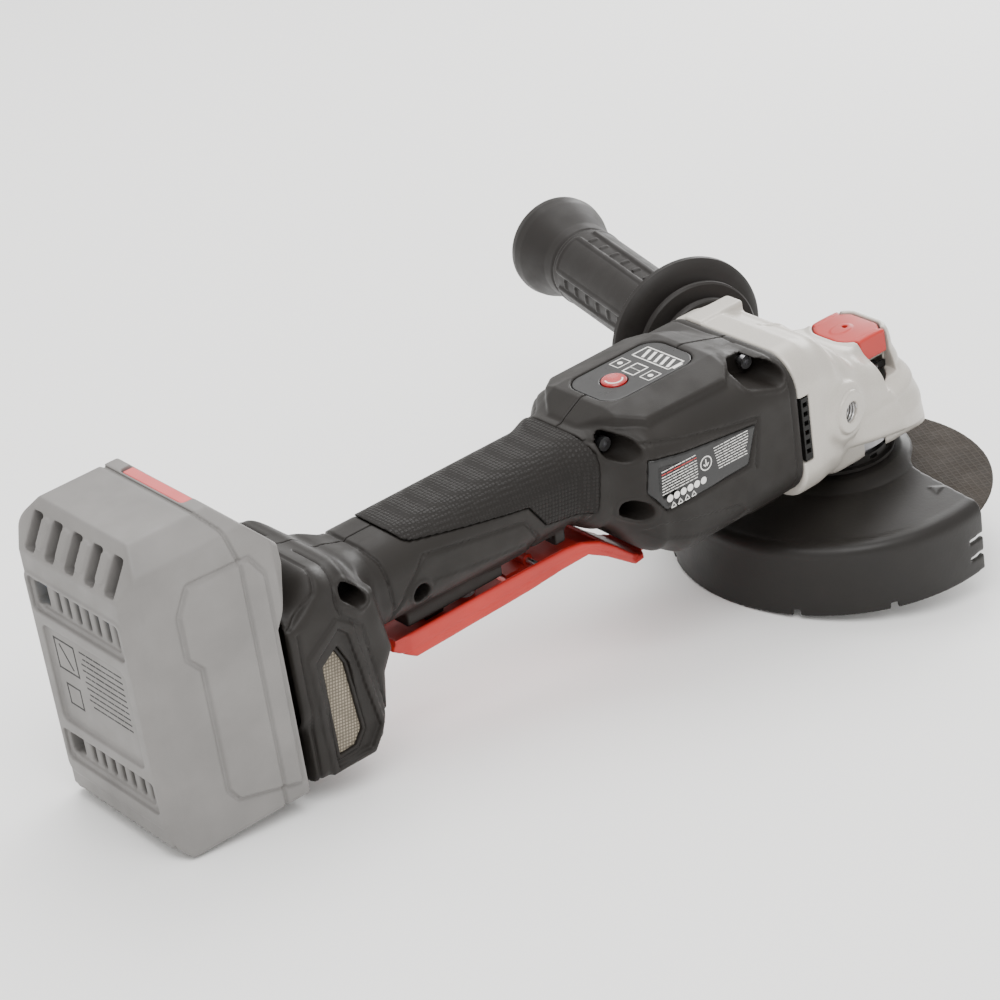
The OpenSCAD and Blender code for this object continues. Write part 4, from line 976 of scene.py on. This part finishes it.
def lock_button():
    """Lock button: cap, skirts down both sides of the head, and its finger mark."""
    f = Field((0, -14.5, -3), (25, 14.5, 11), 0.36)
    w = np.abs(f.y)
    top = 9.7 - 0.03 * np.maximum(0, w - 6) ** 1.5 - 0.004 * (f.x - 10) ** 2
    d = common(button_plan(f, 0), f.z - top, 6.6 - f.z, blend=1.2)
    skirt_low = tool_box("bevel_gear")[1][2] + 3.0
    flank = w - 13.9 + 0.06 * np.maximum(0, f.z)
    skirt = common(span(f.x, 6, 20.5), 11.4 - w, flank, span(f.z, skirt_low, 9.2), blend=0.9)
    d = join(d, skirt, blend=1.6)
    d = stamp(d, np.hypot((f.x - 9.5) / 1.5, f.y) - 3.4, 0.35, 1.0)
    d = cut(d, common(np.hypot(f.x - 11.6, f.y) - 1.15, 7.9 - f.z))
    add_field("lock_cap", f, d, "red_plastic", "lock_button", ["lock_button"])
    for word, side in SIDES:
        # dark strips of painted shade in the slots under the skirts
        slot_shade_strip("lock_slot_shade_strip_" + word, side)


# ---------- battery ----------

BATTERY_SIDE = [
    (-340, -33), (-292, -33), (-292, 35), (-281.5, 54), (-282.5, 62), (-305, 87), (-337, 87), (-347, 70),
    (-347, -26),
]
BATTERY_PANEL = [
    (-323, 67), (-299, 66), (-294, 58), (-294, 41), (-295, -25), (-320, -18), (-323, -13), (-323, 36),
    (-328, 42), (-328, 58),
]
SEAM_X = [(67, -302.2), (80, -306), (88, -312)]  # height, x of the seam between the shells
LATCH_SIDE = [(-309, 86.2), (-304.6, 86.2), (-292.5, 72.7), (-292.5, 70), (-309, 70)]
VENT_EDGE = np.array([[-347, 70], [-337, 87]], float)
UP_EDGE = (VENT_EDGE[1] - VENT_EDGE[0]) / np.linalg.norm(VENT_EDGE[1] - VENT_EDGE[0])
OFF_EDGE = np.array([-UP_EDGE[1], UP_EDGE[0]])


def battery_shell():
    """Two-shell pack with raised side panels, air windows at the back and five vents on top."""
    f = Field((-348.5, -37, -34), (-280, 37, 88.5), 0.58)
    w = np.abs(f.y)
    flank = w - 36
    side = f.side(BATTERY_SIDE)
    rear = (flank - (f.x + 347)) / math.sqrt(2) + 4.3
    top = (flank + (f.z - 87)) / math.sqrt(2) + 6.8
    slope = (flank + (f.z - 78) * 0.75 - (f.x + 345) * 0.75) / 1.46 + 3.0
    front = (flank + (f.x + 281.5)) / math.sqrt(2) + 6.0
    bottom = (flank - (f.z + 33)) / math.sqrt(2) + 2.4
    panel_edge = f.side(BATTERY_PANEL)
    half = 34.9 + ease(0.5 - panel_edge / 0.9) - 0.7 * ease(1 - np.abs(panel_edge - 0.9) / 0.9)
    d = common(side, w - half, rear, top, slope, front, blend=1.0)
    d = common(d, bottom, blend=0.8)
    d = score(d, np.abs(f.x - follow(f.z, SEAM_X)), 1.2, 1.1)
    # rear face: frame, two recessed bands with their windows, label bed, ridged bottom edge
    d = stamp(d, block(f.y, f.z, (0, 21.5), (30, 41), 4), 0.6 * (f.x < -341), 1.0)
    for low, high in ((47, 61), (-14, -1)):
        middle, tall = (low + high) / 2, (high - low) / 2
        band = common(block(f.y, f.z, (0, middle), (28, tall), 2.5), f.x + 346.0)
        inner = common(block(f.y, f.z, (0, middle), (24, tall - 1.6), 2), f.x + 345.0)
        d = cut(d, band, inner, blend=0.3)
        for y, wide in [(23.5, 3.4)] + [(y, 1.3) for y in range(-22, 15, 6)]:
            window = block(f.y, f.z, (y, middle), (wide, tall - 2.6), 1)
            d = cut(d, common(window, f.x + 339), blend=0.4)
    d = cut(d, common(block(f.y, f.z, (0, 23), (25, 19.5), 3), f.x + 346.2), blend=0.3)
    ridges = 1.5 * np.maximum(0, np.sin(f.y * 2 * math.pi / 4.6))
    d = d + ridges * ((f.z < -25.5) & (w < 31) & (f.x < -338))
    # vents across the sloping rear-top edge, with ridges between
    along = (f.x - VENT_EDGE[0, 0]) * UP_EDGE[0] + (f.z - VENT_EDGE[0, 1]) * UP_EDGE[1]
    depth = (f.x - VENT_EDGE[0, 0]) * OFF_EDGE[0] + (f.z - VENT_EDGE[0, 1]) * OFF_EDGE[1]
    for y in range(24, -25, -12):
        d = cut(d, common(block(f.y, along, (y, 8.0), (3.0, 7.0), 1.2), -depth - 9), blend=0.5)
    for y in range(18, -19, -12):
        d = join(d, common(block(f.y, along, (y, 9.0), (2.2, 5.4), 1.6), np.abs(depth) - 0.9), blend=0.7)
    # latch recess in the top, and the open front with the channel of the rail
    d = cut(d, common(block(f.x, f.y, (-300, 0), (9.5, 18.6), 2), 79 - f.z), blend=0.6)
    d = cut(d, common(span(f.x, -300.5, -270), w - 27.5, span(f.z, -40, 34)), blend=0.5)
    replaced = ["battery_case_rear", "battery_case_front"]
    add_field("battery_shell", f, d, "battery_plastic", "battery", replaced)


def battery_latch():
    """Sloping latch button with finger grooves."""
    f = Field((-310, -19, 74), (-288, 19, 88), 0.45)
    w = np.abs(f.y)
    d = common(f.side(LATCH_SIDE), w - 17.9, blend=1.0)
    grooves = 0.35 * np.maximum(0, np.sin((f.x + f.z) * 2.0))
    d = d + grooves * ((w < 13) & (f.z > 74) & (f.x > -304))
    add_field("battery_latch_cap", f, d, "latch_plastic", "battery_latch", ["battery_latch"])


def battery_prints():
    """Dark sheets of painted shade behind the windows and under the vents, and a label of plain dashes."""

    def dark(name, loops, high, lift):
        merged(name, loops, 0, high, MATERIALS["vent_plastic"], "battery", "battery_plastic", lift)

    def vent_place(y, up, out):
        x, z = VENT_EDGE[0] + UP_EDGE * up - OFF_EDGE * (8.4 - out)
        return (x, y, z)

    # painted shade: near-black sheets set behind the rear windows and under the top vents, where only shade falls
    wells = [rounded(0, z, 26.5, half, 1.5) for z, half in ((54, 5.4), (-7.5, 4.9))]
    dark("battery_window_shade", wells, 0.8, lambda y, z, out: (-340.5 + out, y, z))
    dark("battery_vent_shade", [rounded(0, 8.0, 29, 7.4, 1.5)], 0.8, vent_place)
    marks = []
    rng = np.random.default_rng(9)
    for z in np.arange(38, 14, -2.4):
        y = -20.0
        while y < 4:
            length = rng.uniform(1.2, 4.5)
            marks.append(bar(y, z, min(y + length, 5), z, 0.6))
            y += length + 1.0
    marks += box_lines(9, 21, 26, 38, 0.7) + box_lines(11, 19, 12, 20, 0.7) + [bar(12, 28, 18, 36, 0.8)]
    dark("battery_print", marks, 0.1, lambda y, z, out: (-346.15 - out, y, z))


# ---------- guard and disc ----------

DISC_CORNERS = tool_box("disc")
DISC_R = max(DISC_CORNERS[1][0], -DISC_CORNERS[0][0])
DISC_LOW, DISC_HIGH = (corner[2] for corner in DISC_CORNERS)
GUARD_LOW, GUARD_HIGH = tool_box("guard")
GUARD_R = -GUARD_LOW[0] - 0.1
RIM_Z = GUARD_LOW[2]
GUARD_TOP = [(20.35, -39.2), (27, -39.9), (34, -42.8), (62, -46.2)]


def guard_cover():
    """Pressed guard: dished top, rounded shoulder, rolled rim, index notches and slits."""
    f = Field((-GUARD_R - 1, -GUARD_R - 1, RIM_Z - 1), (36, GUARD_R + 1, -38), 0.68)
    r = np.hypot(f.x, f.y)
    top = follow(r, GUARD_TOP)
    solid = common(r - GUARD_R, f.z - top, blend=6.0)
    inner = common(r - (GUARD_R - 1.9), f.z - (top - 1.9), blend=4.6)
    d = common(solid, -inner, RIM_Z - f.z, blend=0.3)
    d = join(d, np.hypot(r - (GUARD_R - 1.05), f.z - (RIM_Z + 1.05)) - 0.95, blend=0.5)
    # open front: a straight cut outside a round hub
    d = cut(d, common(11.2 - f.x, 31.2 - r, blend=7.0), blend=0.3)
    d = cut(d, common(r - 20.45, -50 - f.z), blend=0.2)
    angle = np.degrees(np.arctan2(f.y, f.x)) % 360
    near_rim = GUARD_R - 3 - r
    for degrees in (118, 150, 210, 242):
        away = np.abs(angle - degrees) * math.pi / 180 * GUARD_R
        d = cut(d, common(away - 1.5, f.z - (RIM_Z + 2.4), near_rim), blend=0.5)
    # small embossed triangle, and two slits beside the mouth
    arrow = outline(f.x, f.y, [(3.5, -52.5), (9.5, -50.5), (4.5, -47.0)])
    d = stamp(d, arrow, 0.6 * (f.z > -50), 0.8)
    away = np.abs(angle - 277) * math.pi / 180 * GUARD_R
    for z in (RIM_Z + 7.5, RIM_Z + 15.5):
        d = cut(d, common(away - 5.5, np.abs(f.z - z) - 1.0, near_rim), blend=0.3)
    d = common(d, f.z - GUARD_HIGH[2], -GUARD_R - f.x)
    add_field("guard_shell", f, d, "guard_paint", "guard", ["guard"])


def disc_wheel():
    """Cutting disc: glass net, slightly ragged rim and a plain ring at the bore."""
    steps, ring_count = ((360, 84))
    rings = [11.3, 14, 18, *np.linspace(19, DISC_R - 1.2, ring_count), DISC_R - 0.5, DISC_R - 0.08]
    rng = np.random.default_rng(12)
    angles = np.arange(steps) * 2 * math.pi / steps
    count = len(rings)
    points = []
    for upper in (True, False):
        for i, radius in enumerate(rings):
            x, y = radius * np.cos(angles), radius * np.sin(angles)
            net = np.maximum(*[np.abs(np.sin((x + way * y) * 0.95)) ** 8 for way in (1, -1)])
            rough = 0.07 * (1 - net) + 0.05 * rng.random(steps) + (0.25 if i >= count - 1 else 0.0)
            jag = 1 - (0.0016 * rng.random(steps) if i >= count - 2 else 0.0)
            z = DISC_HIGH - 0.02 - rough if upper else DISC_LOW + 0.02 + rough
            points.append(np.stack([x * jag, y * jag, z], 1))
    # vertex numbers by face, ring and angle, with the first angle again at the end
    index = np.arange(2 * count * steps).reshape(2, count, steps)
    index = np.concatenate([index, index[:, :, :1]], 2)
    loops = [index[0], index[1, ::-1], index[::-1, 0], index[:, -1]]  # top, bottom, bore, rim
    corners = [np.stack([n[:-1, :-1], n[1:, :-1], n[1:, 1:], n[:-1, 1:]], -1) for n in loops]
    faces = np.concatenate([quads.reshape(-1, 4) for quads in corners])
    replaced = ["disc"]
    points = np.concatenate(points)
    add_mesh("disc_net", points, faces, MATERIALS["disc_abrasive"], "spindle", "disc_abrasive", replaced)


# ---------- side handle ----------

GRIP_PROFILE = [  # distance along the handle, radius
    (8, 12.0), (22, 12.0), (26, 15.8), (34, 16.0), (46, 15.2), (80, 15.6), (114, 15.8), (124, 17.0),
    (132, 19.6), (138, 21.6), (142, 22.3), (148, 21.6),
]
HAND_GUARD_PROFILE = [  # radius, distance along the handle
    (12.3, 12.2), (21.4, 12.2), (21.9, 12.8), (21.9, 15.0), (21.2, 15.5), (18.0, 16.0), (17.6, 16.6),
    (17.8, 17.7), (26.2, 18.7), (26.9, 19.5), (26.9, 21.0), (26.2, 21.7), (20.6, 22.5), (20.1, 23.2),
    (20.2, 24.8), (29.6, 26.4), (32.4, 27.4), (33.8, 29.0), (33.9, 31.0), (33.2, 32.0), (31.6, 32.5),
    (18.2, 30.3), (17.7, 29.6), (17.7, 26.4), (12.3, 21.4), (12.3, 12.2),
]


def axis_frame(base, axis):
    """Placement with +Z along an axis of the row frame and +X as near up as it can be."""
    z = Vector(axis).normalized()
    x = (SPINDLE_AXIS - z * SPINDLE_AXIS.dot(z)).normalized()
    turn = Matrix((x, z.cross(x), z)).transposed()
    return np.array(Matrix.Translation(base) @ turn.to_4x4() @ Matrix.Scale(MM, 4))


def side_handle():
    """Grip with four raised pads and cross ribs, flared knob, and the rubber hand guard's rings."""
    place = axis_frame(tool_point(*BOSS), HANDLE_AXIS)
    f = Field((-24, -24, 8), (24, 24, 149), 0.58)
    r = np.hypot(f.x, f.y)
    d = common(r - follow(f.z, GRIP_PROFILE), span(f.z, 8.2, 147.6), blend=3.4)
    d = cut(d, common(r - 5.5, span(f.z, 0, 38)))
    # distance round the grip from the middle of the nearest pad
    quarter = (np.degrees(np.arctan2(f.y, f.x)) + 360) % 90 - 45
    across = np.abs(quarter * math.pi / 180 * 16)
    pad_edge = np.hypot(np.maximum(across - 7, 0), np.maximum(np.abs(f.z - 81) - 31, 0)) - 2.6
    d = stamp(d, pad_edge, 1.3, 1.2)
    d = score(d, np.abs(pad_edge + 2.4), 0.5, 0.6)
    rib = np.clip(np.abs((f.z - 50) % 9.4 - 4.7) - 3.1, 0, 1)
    d = d - 0.8 * rib * ((across > 10.6) & (f.z > 50) & (f.z < 112))
    d = score(d, np.abs(f.z - 118), 0.6, 0.9)
    d = cut(d, np.hypot(r, f.z - 190) - 45.2, blend=1.0)  # dished end of the knob
    add_field("handle_grip", f, d, "handle_plastic", "side_handle", ["side_grip"], place=place)
    lathe(
        "hand_guard_rings", HAND_GUARD_PROFILE, 144, "side_handle", "handle_plastic", ["hand_guard"],
        place=place, capped=False,
    )


# ---------- paddle ----------

PADDLE_SIDE = [
    (-234, -7.5), (-235, -12), (-226, -17.5), (-173, -16.5), (-156, -15.4), (-143, -15.2), (-134, -20.5),
    (-120, -31), (-112, -33), (-79, -31), (-73, -31), (-72.6, -27.5), (-79, -27.5), (-115, -29.6),
    (-121, -25.6), (-130, -17.4), (-137, -12.2), (-145, -9), (-152, -8), (-172, -7.5),
]
PADDLE_INSIDE = [
    (-231, 0), (-231, -12.5), (-226, -15.3), (-173, -14.3), (-156, -13.2), (-142, -13), (-132, -17.3),
    (-126, 0),
]
PADDLE_STEP = [
    (-238, -14.2), (-150, -11.8), (-142, -12.4), (-120, -28.2), (-108, -30.2), (-108, -40), (-238, -40),
]
PADDLE_HALVES = [  # x, half width
    (-236, 13.6), (-228, 15.9), (-140, 15.9), (-122, 15.4), (-114, 11.8), (-111, 6.3), (-70, 6.3),
]


def paddle_lever():
    """Paddle with its softened edges, moulded step and the window of the lock-off lever."""
    f = Field((-236, -17, -34), (-71, 17, -6), 0.5)
    w = np.abs(f.y)
    d = common(f.side(PADDLE_SIDE), w - follow(f.x, PADDLE_HALVES), blend=1.1)
    d = cut(
        d,
        common(f.side(PADDLE_INSIDE), w - 13.8),  # hollow
        common(span(f.x, -240, -230.5), w - 13.8, -9.9 - f.z),  # lowered rear wall
        common(span(f.x, -176, -160), w - 5, f.z + 8),  # window
        blend=0.4,
    )
    d = score(d, np.abs(f.side(PADDLE_STEP)), 0.35, 0.6, w > 9)
    d = cut(d, np.hypot(f.x + 75, f.z + 29) - 1.6)
    add_field("paddle_moulding", f, d, "red_plastic", "paddle", ["paddle"])


# ---------- stage, lights and camera ----------

CAMERA_AT = (-755.2, -809.2, 576.0)  # in the tool's axes
CAMERA_ANGLES = (-39.56, 23.71, -0.67)  # azimuth, elevation and roll in degrees


def place_object(name, data):
    obj = bpy.data.objects.new(name, data)
    bpy.context.scene.collection.objects.link(obj)
    return obj


def stage():
    """A plain pale floor."""
    reach = 6.0
    corners = [(-reach, -reach, 0), (reach, -reach, 0), (reach, reach, 0), (-reach, reach, 0)]
    mesh = bpy.data.meshes.new("floor")
    mesh.from_pydata(corners, [], [(0, 1, 2, 3)])
    mesh.materials.append(Shader("floor_pale", (0.93, 0.93, 0.925), 0.8, specular=0.1).finish())
    place_object("floor", mesh)


def light(name, place, target, power, size):
    """A square lamp that faces a target."""
    lamp = bpy.data.lights.new(name, "AREA")
    lamp.energy = power
    lamp.size = size
    obj = place_object(name, lamp)
    obj.location = place
    obj.rotation_euler = (Vector(target) - Vector(place)).to_track_quat("-Z", "Y").to_euler()


def lights():
    """A bright warm-white surround, with three soft lamps."""
    world = bpy.data.worlds.new("studio")
    world.use_nodes = True
    back = world.node_tree.nodes["Background"]
    back.inputs["Color"].default_value = (1.0, 0.99, 0.97, 1)
    back.inputs["Strength"].default_value = 1.35
    bpy.context.scene.world = world
    middle = (cad_box[0] + cad_box[1]) / 2
    light("key", (-0.5, -0.7, 1.3), middle, 15, 0.9)
    light("top", (0.3, 0.5, 1.4), middle, 14, 1.0)
    light("rim", (1.2, 0.6, 0.6), middle, 8, 0.6)


def camera():
    """At the viewing angle of the photo, with its slight roll and no shift."""
    data = bpy.data.cameras.new("camera")
    data.lens = 112.6
    data.sensor_width = 36
    obj = place_object("camera", data)
    azimuth, elevation, roll = (math.radians(a) for a in CAMERA_ANGLES)
    flat = math.cos(elevation)
    back = Vector((math.sin(azimuth) * flat, -math.cos(azimuth) * flat, math.sin(elevation)))
    turn = back.to_track_quat("Z", "Y").to_matrix() @ Matrix.Rotation(roll, 3, "Z")
    obj.matrix_world = Matrix.Translation(tool_point(*CAMERA_AT)) @ turn.to_4x4()
    bpy.context.scene.camera = obj


housing()
panel()
label_print()
filters()
gear_case()
lock_button()
battery_shell()
battery_latch()
battery_prints()
guard_cover()
disc_wheel()
side_handle()
paddle_lever()
stage()
lights()
camera()
